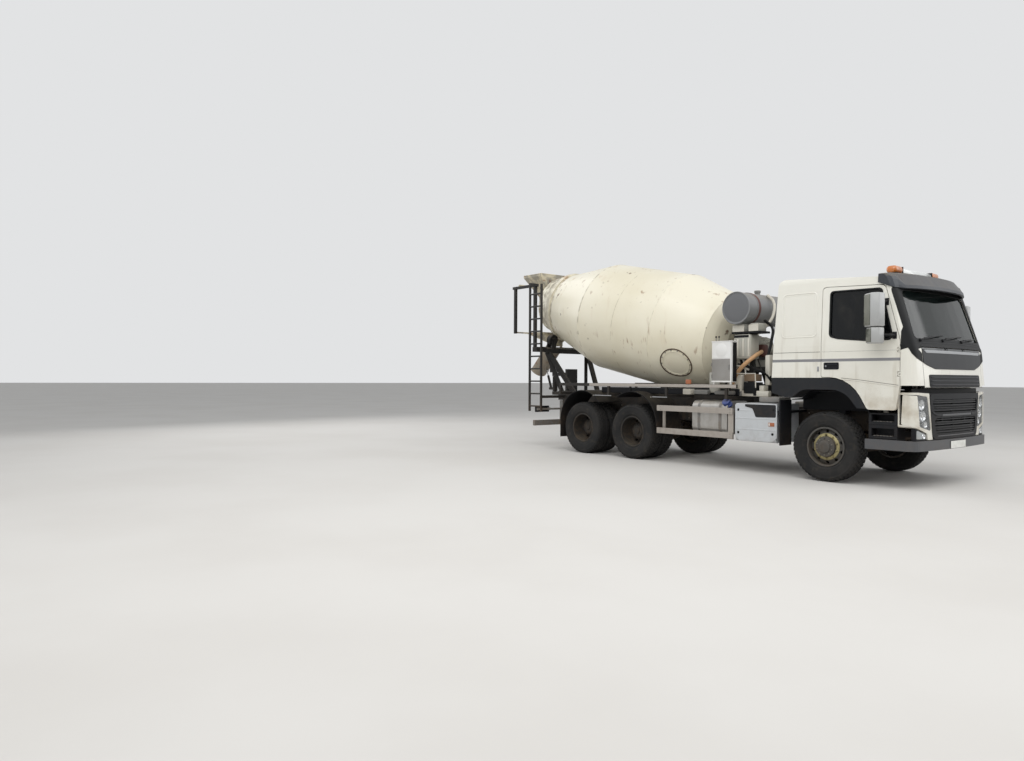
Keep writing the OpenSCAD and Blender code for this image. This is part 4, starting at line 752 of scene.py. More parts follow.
def nuts(count, ring, y, size, height, finish):
    """A ring of nuts on their studs."""
    one = hexagon((0, y + height / 2, ring), (0, 1, 0), size, height, finish)
    stud = domed([(0, y), (size * 0.45, y), (size * 0.45, y + height * 1.5), (size * 0.3, y + height * 1.75),
                  (0, y + height * 1.75)], finish, at=(0, 0, ring), steps=10)
    return around(joined(one, stud), count)


def front_hub():
    ring = turned([(0.1515, 0.080), (0.1515, 0.094), (0.157, 0.099), (0.196, 0.090), (0.203, 0.083), (0.203, 0.0775)],
                  "rim_gold", steps=60)
    nut_ring = nuts(NUTS, NUT_RING, 0.091, 0.0175, 0.024, "rim_gold")
    pointers = nuts(NUTS, 0.122, 0.146, 0.009, 0.008, "bolt")
    cap = domed([(0, 0.176), (0.06, 0.176), (0.072, 0.1735), (0.084, 0.1715), (0.089, 0.168), (0.091, 0.158),
                 (0.0905, 0.150)], "rim")
    mark = turned([(0.036, 0.1755), (0.036, 0.179), (0.046, 0.179), (0.046, 0.1755)], "rim", steps=32)
    weights = turned([(0.2735, 0.118), (0.2735, 0.1262), (0.286, 0.1268), (0.297, 0.1262), (0.2995, 0.122)], "rim",
                     steps=64)
    hole = turned([(0.0265, -0.004), (0.0265, 0.004), (0.030, 0.004), (0.033, -0.001), (0.033, -0.004)], "rim",
                  at=(0, 0.0445, 0.236), axis=(0, 1, 0.5), steps=16)
    shield = turned([(0.204, -0.030), (0.204, -0.024), (0.268, -0.024), (0.268, -0.030)], "seal")
    return joined(ring, nut_ring, pointers, cap, mark, weights, around(hole, 10), shield)


def rear_hub():
    ring = turned([(0.1515, 0.0165), (0.1515, 0.026), (0.157, 0.029), (0.196, 0.026), (0.204, 0.0165)], "rim_dark",
                  steps=60)
    nut_ring = nuts(NUTS, NUT_RING, 0.027, 0.0175, 0.026, "rim_dark")
    flange = nuts(12, 0.122, 0.147, 0.010, 0.009, "rim_dark")
    cap = domed([(0, 0.166), (0.045, 0.166), (0.056, 0.163), (0.064, 0.151), (0.064, 0.148)], "rim_dark", steps=40)
    ribs = around(block((-0.004, 0.06, 0.145), (0.004, 0.14, 0.157), "rim_dark", 0.0015, 1), 12)
    edge = turned([(0.2735, 0.2905), (0.2735, 0.2985), (0.286, 0.299), (0.2995, 0.2975), (0.2995, 0.2935)],
                  "rim_dark", steps=64)
    return joined(ring, nut_ring, flange, cap, ribs, edge)


def fit_hubs():
    front, rear = front_hub(), rear_hub()

    def placed(hub, sign, shift):
        one = moved(hub, flip=sign < 0)
        one.location = shift
        return applied(one)

    for side, sign in SIDES:
        piece(f"hub_front_{side}", f"wheel_f{side}", "rim_gold", placed(front, sign, (0, sign * WHEEL_Y, AXLE_Z)))
        for axle, x in REAR_AXLES.items():
            one = placed(rear, sign, (x, sign * (WHEEL_Y - TWIN / 2), AXLE_Z))
            piece(f"hub_rear{axle}_{side}", f"wheels_r{axle}{side}", "rim_dark", one)
    removed(front, rear)


# Cab

DOORS = ("right_door", "left_door")


def mirrored(rows):
    """An outline made whole from its right half, rows of (y, z, corner radius) with y under 0."""
    return rows + [(-y, z, r) for y, z, r in reversed(rows)]


def cab_front_trim():
    panel = on_front(plate(mirrored([(-0.996, 1.966, 0.0), (-0.996, 1.780, 0.0), (-0.90, 1.745, 0.10),
                                     (-0.68, 1.692, 0.08)]), "front", 0.003, 0.010, "panel", 0.003, cuts=22))
    strip = on_front(plate(mirrored([(-0.985, 1.960, 0.01), (-0.90, 1.918, 0.01)]), "front", 0.008, 0.008, "strip",
                           0.003, cuts=14))
    slot_frame = on_front(plate(mirrored([(-0.87, 1.615, 0.03), (-0.87, 1.44, 0.03)]), "front", 0.003, 0.010, "trim",
                                0.003, cuts=14))
    slats = [on_front(block((0.005, -0.83, z), (0.013, 0.83, z + 0.020), "panel", 0.004, 2, cuts=14))
             for z in (1.462, 1.515, 1.568)]
    rim = on_front(block((0.002, -0.99, 1.432), (0.008, 0.99, 1.438), "seal", 0.002, 1, cuts=10))
    piece("hatch_panel", "hatch", "trim_black", panel, strip, slot_frame, *slats, rim)


def screen_frame():
    """Black round the windscreen and the scuttle with its wipers, wrapped round the corners."""
    frame_line = mirrored([(-1.225, 0.90, 0.08), (-1.228, 0.29, 0.03), (-1.266, 0.235, 0.015), (-1.343, 0.0, 0.0),
                           (-1.343, -0.012, 0.0)])
    glass_line = mirrored([(-1.035, 0.825, 0.08), (-1.095, 0.105, 0.07)])
    shapes = [on_screen(plate(frame_line, "front", 0.002, 0.008, "seal", 0.003, holes=[glass_line], cuts=44))]
    for side in (-1, 1):
        cheek = [(side * 1.009, 1.785, 0.0), (side * 1.15, 1.838, 0.06), (side * 1.215, 1.90, 0.05),
                 (side * 1.255, 1.985, 0.04), (side * 1.343, 2.015, 0.01), (side * 1.343, 2.028, 0.0),
                 (side * 1.009, 2.028, 0.0)]
        shapes.append(on_front(plate(cheek, "front", 0.002, 0.008, "seal", 0.001, cuts=14)))
    shapes.append(on_front(block((-0.012, -1.02, 2.0025), (0.007, 1.02, 2.03), "seal", 0.002, 1, cuts=14)))
    for z in (0.030, 0.062):
        shapes.append(on_screen(block((0.005, -0.95, z), (0.009, 0.95, z + 0.014), "trim", 0.003, 1, cuts=14)))
    for y in (-0.98, -0.34, 0.30):
        pivot = domed([(0, 0.0), (0.022, 0.0), (0.022, 0.018), (0.014, 0.026), (0, 0.026)], "trim",
                      at=(0.006, y, 0.075), axis=(1, 0, 0), steps=16)
        arm = tube([(0.028, y, 0.075), (0.034, y + 0.12, 0.092), (0.026, y + 0.40, 0.125)], 0.008, "trim")
        blade = tube([(0.014, y + 0.10, 0.108), (0.020, y + 0.40, 0.130), (0.014, y + 0.68, 0.152)], 0.008, "seal")
        shapes += [on_screen(pivot), on_screen(arm), on_screen(blade)]
    piece("screen_trim", "cab", "rubber", *shapes)


def both_doors(*rows):
    """Pieces on the right side and their mirror images on the left; the shapes they were drawn with go.

    Each row has the pieces' name, slot, shapes, bodies on the right and on the left, and the node replaced."""
    for side, name, slot, shapes, bodies, replaced in [(side, *row) for side in "rl" for row in rows]:
        piece(f"{name}_{side}", bodies["rl".index(side)], slot, *[moved(o, flip=side == "l") for o in shapes],
              replaces=[f"{replaced}_{side}"] if replaced else ())
    for row in rows:
        removed(*row[2])


def cab_side_trim():
    """Pressings, seals and small things on the cab's sides; each drawn on the right and copied to the left."""
    def pressed(inset, r, y, radius):
        x0, x1, z0, z1 = -0.70 + inset, -0.135 - inset, 2.19 + inset, 2.865 - inset
        points = rounded([(x0, z1, r), (x1, z1, r), (x1, z0, r), (x0, z0, r)], 6)
        return on_side(tube([(p.x, y, p.y) for p in points], radius, "cab", closed=True))

    fixed = [pressed(0, 0.06, -1.2385, 0.013), pressed(0.028, 0.045, -1.2430, 0.0045),
             tube([(-0.84, -1.2445, 1.955), (-0.06, -1.2445, 1.955)], 0.003, "seal"),
             block((-0.105, -1.2495, 1.66), (-0.075, -1.2435, 1.735), "silver", 0.003, 2)]
    frame_line = [(0.072, 2.862, 0.055), (0.072, 2.178, 0.065), (0.208, 2.137, 0.065), (0.642, 2.092, 0.10),
                  (1.028, 2.097, 0.065), (0.842, 2.852, 0.065)]
    glass_line = [(0.096, 2.840, 0.045), (0.096, 2.200, 0.055), (0.212, 2.162, 0.06), (0.640, 2.117, 0.10),
                  (1.000, 2.121, 0.055), (0.822, 2.830, 0.055)]
    on_door = [on_side(plate(frame_line, "side", -1.2465, 0.010, "seal", 0.003, holes=[glass_line])),
               on_side(block((0.838, -1.2505, 2.13), (0.862, -1.2405, 2.75), "seal", 0.003, 1))]
    handle = plate([(0.0, 1.795, 0.02), (0.0, 1.69, 0.02), (0.235, 1.69, 0.02), (0.235, 1.795, 0.02)], "side",
                   -1.247, 0.012, "trim", 0.004)
    bar = block((0.06, -1.262, 1.752), (0.215, -1.248, 1.776), "panel", 0.005, 3)
    lock = domed([(0, 0), (0.013, 0), (0.012, 0.006), (0, 0.007)], "silver", at=(0.035, -1.252, 1.74),
                 axis=(0, -1, 0), steps=20)
    on_door += [handle, bar, lock]
    # The cab-white tube is the door's crease; the grey line 15 mm above it is painted shade along the crease.
    for y, up, radius, finish in ((-1.2410, 0, 0.012, "cab"), (-1.2440, 0.015, 0.005, "crease_shade_grey")):
        on_door.append(tube([(0.27, y, 1.548 + up), (0.55, y, 1.520 + up), (1.09, y, 1.450 + up)], radius, finish))
    on_door.append(tube([(-0.03, -1.2448, 1.955), (1.10, -1.2448, 1.955)], 0.0012, "seal"))
    both_doors(("side_pressing", "cab_white", fixed, ("cab", "cab"), None),
               ("door_trim", "rubber", on_door, DOORS, None))


def mirrors():
    """Two-part door mirrors on their arms."""
    shells = [plate([(0.715, -1.392, 0.02), (0.92, -1.362, 0.05), (0.992, -1.43, 0.05), (0.968, -1.56, 0.04),
                     (0.855, -1.583, 0.02), (0.715, -1.46, 0.02)], "top", 2.512, 0.47, "mirror", 0.02),
              plate([(0.745, -1.40, 0.02), (0.92, -1.372, 0.05), (0.985, -1.43, 0.05), (0.96, -1.55, 0.04),
                     (0.865, -1.575, 0.02), (0.745, -1.465, 0.02)], "top", 2.155, 0.225, "mirror", 0.02)]
    neck = block((0.83, -1.53, 2.255), (0.94, -1.41, 2.29), "trim", 0.01, 2)
    faces = [plate([(0.850, -1.586, 0.0), (0.712, -1.465, 0.0), (0.722, -1.455, 0.0), (0.860, -1.576, 0.0)], "top",
                   2.512, 0.43, "mirror_glass", 0.002),
             plate([(0.860, -1.578, 0.0), (0.742, -1.470, 0.0), (0.752, -1.460, 0.0), (0.870, -1.568, 0.0)], "top",
                   2.155, 0.19, "mirror_glass", 0.002)]
    arms = [tube([(0.95, -1.42, 2.16), (1.02, -1.40, 2.16), (1.034, -1.33, 2.16), (1.034, -side_y(2.16), 2.16)], 0.019,
                 "trim", soft=True),
            tube([(0.914, -1.40, 2.64), (0.914, -side_y(2.64), 2.64)], 0.018, "trim")]
    feet = [block((x - 0.03, -side_y(z) - 0.012, z - 0.05), (x + 0.03, -side_y(z) + 0.002, z + 0.05), "trim", 0.008, 2)
            for x, z in ((1.034, 2.16), (0.914, 2.64))]
    both_doors(("mirror_shell", "box_white", [*shells, neck, *faces, *arms, *feet], DOORS, "mirror"))


def beacons():
    """A pale light bar with rounded amber ends."""
    outline = [(0.672, 3.112, 0.02), (0.69, 3.20, 0.04), (0.79, 3.20, 0.04), (0.808, 3.112, 0.02)]
    shapes = [plate(outline, "side", 0, 1.0, "bar", 0.01),
              block((0.664, -0.73, 3.0965), (0.816, 0.73, 3.114), "trim", 0.006, 2)]
    for side in (-1, 1):
        cap, band, foot = (sorted((side * a, side * b)) for a, b in ((0.49, 0.739), (0.485, 0.497), (0.402, 0.458)))
        shapes += blocks((0.662, cap[0], 3.108, 0.818, cap[1], 3.2195, "amber", 0.05, 6),
                         (0.668, band[0], 3.105, 0.812, band[1], 3.212, "trim", 0.02, 3),
                         (0.705, foot[0], 3.005, 0.775, foot[1], 3.098, "trim", 0.006, 2))
    piece("beacon_set", "cab", "beacon", *shapes, replaces=["beacon_bar"])


def headlamps():
    """Lamps at the front's corners, fog lamps under them, and the lamps at the tail."""
    outline = [(0.906, 1.305, 0.04), (1.345, 1.334, 0.02), (1.365, 0.916, 0.02), (0.803, 0.824, 0.03)]
    inside = [(0.922, 1.286, 0.035), (1.325, 1.314, 0.02), (1.345, 0.934, 0.02), (0.826, 0.846, 0.03)]
    pale = [(1.15, 1.320, 0.01), (1.343, 1.332, 0.02), (1.363, 0.918, 0.02), (1.10, 0.872, 0.01)]
    cover = [(0.906, 1.305, 0.04), (1.145, 1.322, 0.01), (1.095, 0.878, 0.01), (0.803, 0.824, 0.03)]
    fog = [(0.935, 0.782, 0.02), (1.16, 0.845, 0.02), (1.16, 0.722, 0.02), (0.93, 0.716, 0.02)]
    shapes = [plate(outline, "front", -0.075, 0.012, "reflector", 0.003, cuts=14),
              plate(outline, "front", -0.036, 0.06, "trim", 0.002, holes=[inside], cuts=14),
              plate(pale, "front", -0.006, 0.020, "cab", 0.005, cuts=8)]
    bowl = [(0.014, -0.045), (0.045, -0.038), (0.066, -0.018), (0.072, 0.0), (0.078, 0.0), (0.07, -0.028),
            (0.05, -0.048), (0.0, -0.055)]
    bulb = [(0, 0.01), (0.012, 0.006), (0.016, -0.01), (0.016, -0.04), (0, -0.04)]
    for y, z, size in ((1.03, 1.19, 0.95), (0.995, 1.035, 0.95), (0.93, 0.915, 0.62)):
        shapes += [domed([(r * size, a * size) for r, a in bowl], "reflector", (-0.014, y, z), (1, 0, 0), 28),
                   domed(bulb, "clear", (-0.022, y, z), (1, 0, 0), 14)]
    shapes += blocks((-0.008, 1.275, 1.235, -0.001, 1.32, 1.30, "trim", 0.003, 1),
                     (-0.008, 1.255, 1.115, -0.001, 1.31, 1.145, "reflector", 0.003, 1))
    shapes += [plate(cover, "front", -0.003, 0.004, "lamp", 0.0015, cuts=12),
               plate(fog, "front", -0.012, 0.012, "fog", 0.004, cuts=6),
               domed([(0, 0.004), (0.026, 0.006), (0.032, 0.010), (0.036, 0.002)], "reflector", (-0.010, 0.99, 0.757),
                     (1, 0, 0), 24)]
    left = [on_lamp(o) for o in shapes]
    right = [moved(o, flip=True) for o in left]
    rear = []
    for side in (-1, 1):
        for a, b, x0, x1, z0, z1, finish, edge in (
                (0.70, 1.09, -6.955, -6.90, 0.78, 0.92, "trim", 0.01),
                (0.71, 0.828, -6.96, -6.945, 0.795, 0.905, "red", 0.008),
                (0.835, 0.953, -6.96, -6.945, 0.795, 0.905, "red", 0.008),
                (0.96, 1.078, -6.96, -6.945, 0.795, 0.905, "amber", 0.008),
                (0.99, 1.075, -6.961, -6.95, 0.80, 0.85, "clear", 0.006)):
            y0, y1 = sorted((side * a, side * b))
            rear.append(block((x0, y0, z0), (x1, y1, z1), finish, edge, 2))
    piece("lamp_set", "chassis", "lamp", *left, *right, *rear, replaces=["lamps"])


def grille_trim():
    """Slats, side fins and blank number plate at the front."""
    face = [plate(mirrored([(-0.852, 1.343, 0.05), (-0.762, 0.708, 0.09)]), "front", 0.003, 0.010, "trim", 0.003,
                  holes=[mirrored([(-0.775, 1.265, 0.04), (-0.735, 1.085, 0.05)]),
                         mirrored([(-0.72, 1.00, 0.05), (-0.67, 0.785, 0.06)])], cuts=16)]
    for half, cuts, heights in ((0.745, 12, (1.105, 1.140, 1.175, 1.210, 1.245)),
                                (0.69, 12, (0.80, 0.835, 0.87, 0.905, 0.94, 0.975))):
        face += blocks(*[(-0.012, -half, z, 0.003, half, z + 0.013, "panel", 0.004, 2, cuts) for z in heights])
    face += blocks((0.004, -0.50, 1.025, 0.016, 0.50, 1.055, "bumper", 0.006, 2, 10),
                   (-0.11, -1.12, 1.30, -0.10, 1.12, 1.42, "seal", 0.003, 1, 10),
                   (-0.085, -0.78, 0.74, -0.075, 0.78, 1.29, "seal", 0.003, 1, 10),
                   (0.004, -0.62, 0.742, 0.014, 0.62, 0.756, "bumper", 0.004, 1, 10))
    fin = [(0.78, 1.075, 0.01), (0.66, 1.035, 0.02), (0.52, 1.03, 0.01), (0.52, 1.055, 0.01), (0.66, 1.062, 0.02),
           (0.78, 1.10, 0.01)]
    face += [plate([(side * y, z, r) for y, z, r in fin], "front", 0.010, 0.01, "panel", 0.003, cuts=3)
             for side in (-1, 1)]
    for o in face:
        shaped(o, lambda p: Vector((p.x + NOSE_X - bow(p.y), p.y, p.z)))
    piece("grille_slats", "chassis", "trim_black", *face)
    piece("number_plates", "chassis", "box_white", *blocks(
        (1.3785, -0.262, 0.553, 1.3835, 0.262, 0.667, "trim", 0.002, 1),
        (1.3835, -0.257, 0.558, 1.3865, 0.257, 0.662, "plate", 0.001, 1),
        (-6.952, -0.262, 0.62, -6.944, 0.262, 0.734, "trim", 0.002, 1),
        (-6.956, -0.257, 0.625, -6.951, 0.257, 0.729, "plate_rear", 0.001, 1),
        (-6.945, -0.22, 0.56, -6.937, -0.18, 0.70, "trim", 0.002, 1),
        (-6.945, 0.18, 0.56, -6.937, 0.22, 0.70, "trim", 0.002, 1)))


def hatch_colours():
    """White outside; the hatch's side, top, bottom and back faces are black, painted shade in the seams round it, with
    dark hinge lugs; the cab front's middle below z 2.0 is black too.
    """
    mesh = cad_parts["front_hatch"].data
    mesh.materials[0] = FINISHES["hatch"]
    mesh.materials.append(FINISHES["seal"])
    for face in mesh.polygons:
        # Side, top, bottom and back faces: black for painted shade in the seams.
        if abs(face.normal.y) > 0.3 or abs(face.normal.z) > 0.5 or face.normal.x < -0.5:
            face.material_index = 1
    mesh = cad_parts["cab_front"].data
    mesh.materials.append(FINISHES["seal"])
    for face in mesh.polygons:
        if face.center.x > AXLE + 1.30 and abs(face.center.y) < 0.35 and face.center.z < 2.0:
            face.material_index = 1


# Behind the cab and along the side

def drum_details():
    along, foot = DRUM_AXIS, DRUM_FOOT - Vector((AXLE, 0, 0))
    radial = Vector((along.z, 0, -along.x))

    def on_drum(s, angle, lift=0.0):
        """The point of the drum's skin at s along its axis and an angle from the top towards the right."""
        for (s0, r0), (s1, r1) in zip(DRUM_SKIN, DRUM_SKIN[1:]):
            if s <= s1:
                r = r0 + (r1 - r0) * (s - s0) / (s1 - s0) + lift
                break
        t = math.radians(angle)
        return foot + along * s + (radial * math.cos(t) + Vector((0, -1, 0)) * math.sin(t)) * r

    hatch_s, hatch_angle = 0.522, 123

    def round_hatch(count, half, swing):
        """Places along the drum and round it, on an oval about its hatch."""
        turns = [2 * math.pi * k / count for k in range(count)]
        return [(hatch_s + half * math.cos(t), hatch_angle + swing * math.sin(t)) for t in turns]

    shapes = []
    for s, r in ((1.068, 1.1405), (3.042, 1.1405), (4.0, 0.881), (2.052, 1.1405), (0.0, 0.8555)):
        shapes.append(turned([(r - 0.006, -0.007), (r + 0.0025, -0.004), (r + 0.0035, 0), (r + 0.0025, 0.004),
                              (r - 0.006, 0.007)], "drum", at=foot + along * s, axis=along, steps=96))
    shapes.append(turned([(0.610, -0.05), (0.632, -0.05), (0.636, 0.0), (0.634, 0.004), (0.612, 0.004)], "drum",
                         at=foot + along * DRUM_SKIN[-1][0], axis=along, steps=96))
    for half, swing, lift, radius, finish in ((0.305, 17.6, 0.004, 0.011, "hatch_ring"),
                                              (0.255, 14.7, 0.006, 0.007, "drum")):
        ring = [on_drum(s, a, lift) for s, a in round_hatch(40, half, swing)]
        shapes.append(tube(ring, radius, finish, closed=True))
    for s, a in round_hatch(14, 0.28, 16.1):
        at = on_drum(s, a, 0.006)
        out = (on_drum(s, a, 0.1) - on_drum(s, a, 0.0)).normalized()
        shapes.append(hexagon(at, out, 0.012, 0.016, "bolt"))
    piece("drum_seams", "mixing_drum", "drum_cream", *shapes)


def tank_details():
    """Ends, straps and filler of the water tank, with its hose and pipe."""
    x, z = -1.8, 2.77
    shapes = []
    for side in (-1, 1):
        end, strap = (x, side * 0.88, z), (x, side * 0.59, z)
        shapes += [domed([(0, 0.012), (0.15, 0.010), (0.235, 0.004), (0.262, -0.006), (0.262, -0.02)], "water_end",
                         end, (0, side, 0), 64),
                   turned([(0.262, -0.012), (0.262, 0.010), (0.272, 0.014), (0.2815, 0.006), (0.2815, -0.012)],
                          "water", end, (0, side, 0), 64),
                   turned([(0.2815, -0.03), (0.2845, -0.028), (0.2845, 0.028), (0.2815, 0.03)], "red_brown",
                          strap, (0, 1, 0), 64)]
    shapes += [domed([(0, 0.07), (0.05, 0.07), (0.056, 0.064), (0.056, 0.03), (0.045, 0.025), (0.045, -0.02)], "steel",
                     (x, -0.25, z + 0.275), (0, 0, 1), 28),
               tube([(-1.62, -0.22, 3.02), (-1.49, -0.24, 2.90), (-1.44, -0.30, 2.70), (-1.47, -0.42, 2.50),
                     (-1.53, -0.55, 2.38)], 0.026, "pale", soft=True),
               tube([(-1.80, -0.72, 2.50), (-1.80, -0.72, 2.36), (-1.86, -0.70, 2.22), (-1.90, -0.62, 2.0),
                     (-1.88, -0.55, 1.7), (-1.86, -0.50, 1.36)], 0.024, "flap", soft=True)]
    piece("water_tank_fittings", "chassis", "tank_grey", *shapes)


def drive_details():
    """The drum's gearbox and pump, the cooler under the water tank, and the pipes and boxes above the frame."""
    foot, along = DRUM_FOOT - Vector((AXLE, 0, 0)), DRUM_AXIS
    shapes = []
    for s, r, w in ((-0.44, 0.252, 0.03), (-0.70, 0.21, 0.03), (-0.57, 0.21, 0.02), (-0.765, 0.16, 0.03)):
        shapes.append(turned([(r - 0.03, -w / 2), (r, -w / 2), (r + 0.004, 0), (r, w / 2), (r - 0.03, w / 2)], "gear",
                             at=foot + along * s, axis=along))
    ring = around(hexagon((0, 0, 0.232), (0, 1, 0), 0.012, 0.016, "bolt"), 20)
    ring.rotation_euler = Vector(along).to_track_quat("Y", "Z").to_euler()
    ring.location = foot + along * -0.462
    pump = domed([(0, -0.06), (0.07, -0.06), (0.085, -0.045), (0.09, 0.0), (0.09, 0.14), (0.0, 0.14)], "red_brown",
                 (-1.70, -0.22, 2.02), (0, -1, 0), 32)
    shapes += [applied(ring), pump,
               *blocks((-1.80, -0.42, 1.93, -1.56, -0.26, 2.15, "red_brown", 0.03, 3)),
               tube([(-1.62, -0.40, 2.02), (-1.50, -0.60, 2.00), (-1.50, -0.78, 1.93), (-1.72, -0.90, 1.69),
                     (-1.83, -0.90, 1.51), (-1.86, -0.86, 1.38), (-1.86, -0.76, 1.28)], 0.036, "hose", soft=True)]
    # Cooler and its carrier under the water tank
    ribs = [-1.885 + k * 0.054 for k in range(6)]
    shapes += blocks((-1.905, -0.80, 1.885, -1.575, -0.52, 2.315, "cooler", 0.03, 3),
                     # The ribs alternate pale and gear paint: painted light and shade across the ribbed face.
                     *[(x, -0.812, 1.93, x + 0.030, -0.798, 2.24, "pale" if k % 2 else "gear", 0.006, 2)
                       for k, x in enumerate(ribs)],
                     (-1.89, -0.81, 2.26, -1.60, -0.795, 2.30, "trim", 0.004, 1),
                     (-1.95, -0.80, 2.325, -1.38, -0.50, 2.36, "trim", 0.006, 1))
    for x0, x1 in ((-1.93, -1.70), (-1.607, -1.42)):
        shapes += [plate([(x0, 2.362, 0.01), (x1, 2.362, 0.01), (x1, 2.475, 0.01), (x0, 2.475, 0.01)], "side", -0.79,
                         0.02, "pale", 0.004),
                   *blocks((x0 + 0.02, -0.78, 2.362, x1 - 0.02, -0.52, 2.50, "gear", 0.01, 2))]
    # Pipes, hoses and boxes above the frame
    shapes += blocks((-1.90, -0.52, 1.88, -1.86, -0.30, 1.94, "chassis", 0.006, 1),
                     (-1.64, -0.52, 1.88, -1.60, -0.30, 1.94, "chassis", 0.006, 1),
                     (-1.895, -0.90, 1.29, -1.668, -0.70, 1.62, "pale", 0.02, 2),
                     (-1.622, -0.90, 1.505, -1.40, -0.70, 1.625, "rust_box", 0.012, 2),
                     (-1.62, -0.92, 1.30, -1.38, -0.70, 1.49, "seal", 0.012, 2),
                     (-1.355, -0.86, 1.34, -1.268, -0.72, 1.435, "pale", 0.012, 2),
                     (-1.667, -0.90, 1.250, -1.16, -0.80, 1.345, "pale", 0.012, 2),
                     (-1.44, -0.905, 1.262, -1.38, -0.895, 1.33, "trim", 0.006, 1),
                     (-1.922, -0.90, 1.250, -1.667, -0.80, 1.34, "steel", 0.012, 2),
                     (-1.326, -0.74, 1.44, -1.236, -0.62, 1.95, "pale", 0.02, 2),
                     (-1.30, -0.95, 1.16, -0.92, -0.60, 1.25, "box_grey", 0.02, 2),
                     (-2.30, -0.95, 1.30, -2.08, -0.78, 1.66, "gear", 0.015, 2))
    shapes += [tube([(-2.02, -0.95, 1.638), (-1.37, -0.95, 1.636), (-1.36, -0.95, 1.40)], 0.010, "pale"),
               tube([(-1.90, -0.95, 1.64), (-1.90, -0.95, 1.34)], 0.008, "pale"),
               tube([(-1.30, -0.68, 1.95), (-1.29, -0.60, 2.20), (-1.34, -0.50, 2.42), (-1.52, -0.45, 2.56)], 0.024,
                    "seal", soft=True),
               tube([(-1.92, -0.82, 1.78), (-1.72, -0.84, 1.755), (-1.58, -0.82, 1.70)], 0.018, "gear", soft=True)]
    for k in range(4):
        shapes.append(tube([(-1.84 + 0.05 * k, -0.40, 1.90), (-1.74 + 0.10 * k, -0.70, 1.86 - 0.03 * k),
                            (-1.62 + 0.09 * k, -0.80, 1.78 - 0.03 * k), (-1.40 + 0.03 * k, -0.82, 1.68),
                            (-1.22, -0.70, 1.58 - 0.03 * k)], 0.011, "seal", soft=True))
    for x, z in ((-2.22, 1.70), (-2.15, 1.72)):
        shapes.append(tube([(x, -0.87, 1.62), (x + 0.02, -0.93, z + 0.16), (x + 0.05, -0.98, z + 0.24)], 0.009, "seal"))
    piece("drive_pipes", "chassis", "gear_green", *shapes)


def control_box_details():
    x0, x1, y = -2.045, -1.65, -1.2155
    door = plate([(x0 + 0.012, 2.168, 0.015), (x0 + 0.012, 1.895, 0.015), (x1 - 0.012, 1.895, 0.015),
                  (x1 - 0.012, 2.168, 0.015)], "side", y - 0.003, 0.007, "box", 0.002)
    blank = domed([(0, 0.004), (0.112, 0.004), (0.116, 0.002), (0.116, 0.0)], "box", (-1.85, y - 0.006, 2.03),
                  (0, -1, 0), 56)
    shapes = [*blocks((x0 - 0.002, y - 0.004, 1.492, x1 + 0.002, y, 1.882, "box_grey", 0.0015, 1),
                      (x0 - 0.004, y - 0.012, 1.486, x1 + 0.004, y + 0.004, 1.512, "box", 0.004, 2)), door, blank,
              *blocks((x0 - 0.012, y - 0.01, 2.172, x1 + 0.012, -1.06, 2.19, "box", 0.006, 2),
                      (x1 - 0.06, y - 0.014, 1.70, x1 - 0.03, y - 0.002, 1.78, "steel", 0.004, 2),
                      (x1 - 0.022, y - 0.007, 1.512, x1 + 0.004, y - 0.002, 1.882, "box", 0.002, 1),
                      # A thin black sheet over the box's forward side: painted shade on that face.
                      (x1 + 0.0005, y + 0.035, 1.50, x1 + 0.005, -1.074, 2.16, "seal", 0.002, 1),
                      *[(x0 - 0.008, y - 0.012, z, x0 + 0.012, y, z + 0.06, "steel", 0.004, 1) for z in (1.56, 1.76)])]
    for x in (-1.98, -1.92):
        shapes += [tube([(x, -1.19, 2.185), (x, -1.19, 2.25)], 0.006, "steel"),
                   domed([(0, 0.018), (0.012, 0.012), (0.016, 0), (0.012, -0.012), (0, -0.016)], "seal",
                         (x, -1.19, 2.262), (0, 0, 1), 16)]
    piece("control_box_trim", "chassis", "box_white", *shapes)


def battery_details():
    shapes = [plate([(-1.558, 1.138, 0.03), (-0.785, 1.138, 0.03), (-0.785, 0.60, 0.06), (-0.86, 0.532, 0.07),
                     (-1.47, 0.522, 0.07), (-1.558, 0.58, 0.05)], "side", -1.229, 0.016, "battery", 0.006),
              plate([(-1.365, 1.130, 0.01), (-0.80, 1.130, 0.02), (-0.80, 0.93, 0.02), (-1.165, 0.922, 0.03),
                     (-1.225, 1.062, 0.03), (-1.365, 1.092, 0.01)], "side", -1.2385, 0.008, "grey_trim", 0.003)]
    shapes += blocks(*[(x0, -1.2405, z - 0.012, x1, -1.232, z + 0.012, "battery", 0.004, 2)
                       for z, x0, x1 in ((1.03, -1.54, -1.26), (0.90, -1.54, -0.80), (0.72, -1.54, -0.80))])
    shapes += [domed([(0, 0.008), (0.018, 0.006), (0.022, 0)], "seal", (x, -1.2375, z), (0, -1, 0), 20)
               for x, z in ((-1.495, 1.035), (-1.495, 0.66), (-0.86, 0.66), (-0.84, 1.05))]
    shapes += blocks((-0.935, -1.2455, 0.785, -0.825, -1.236, 0.845, "reflex", 0.006, 2),
                     (-0.93, -1.2458, 0.79, -0.90, -1.2365, 0.84, "clear", 0.004, 1))
    piece("battery_cover", "chassis", "steel_grey", *shapes)


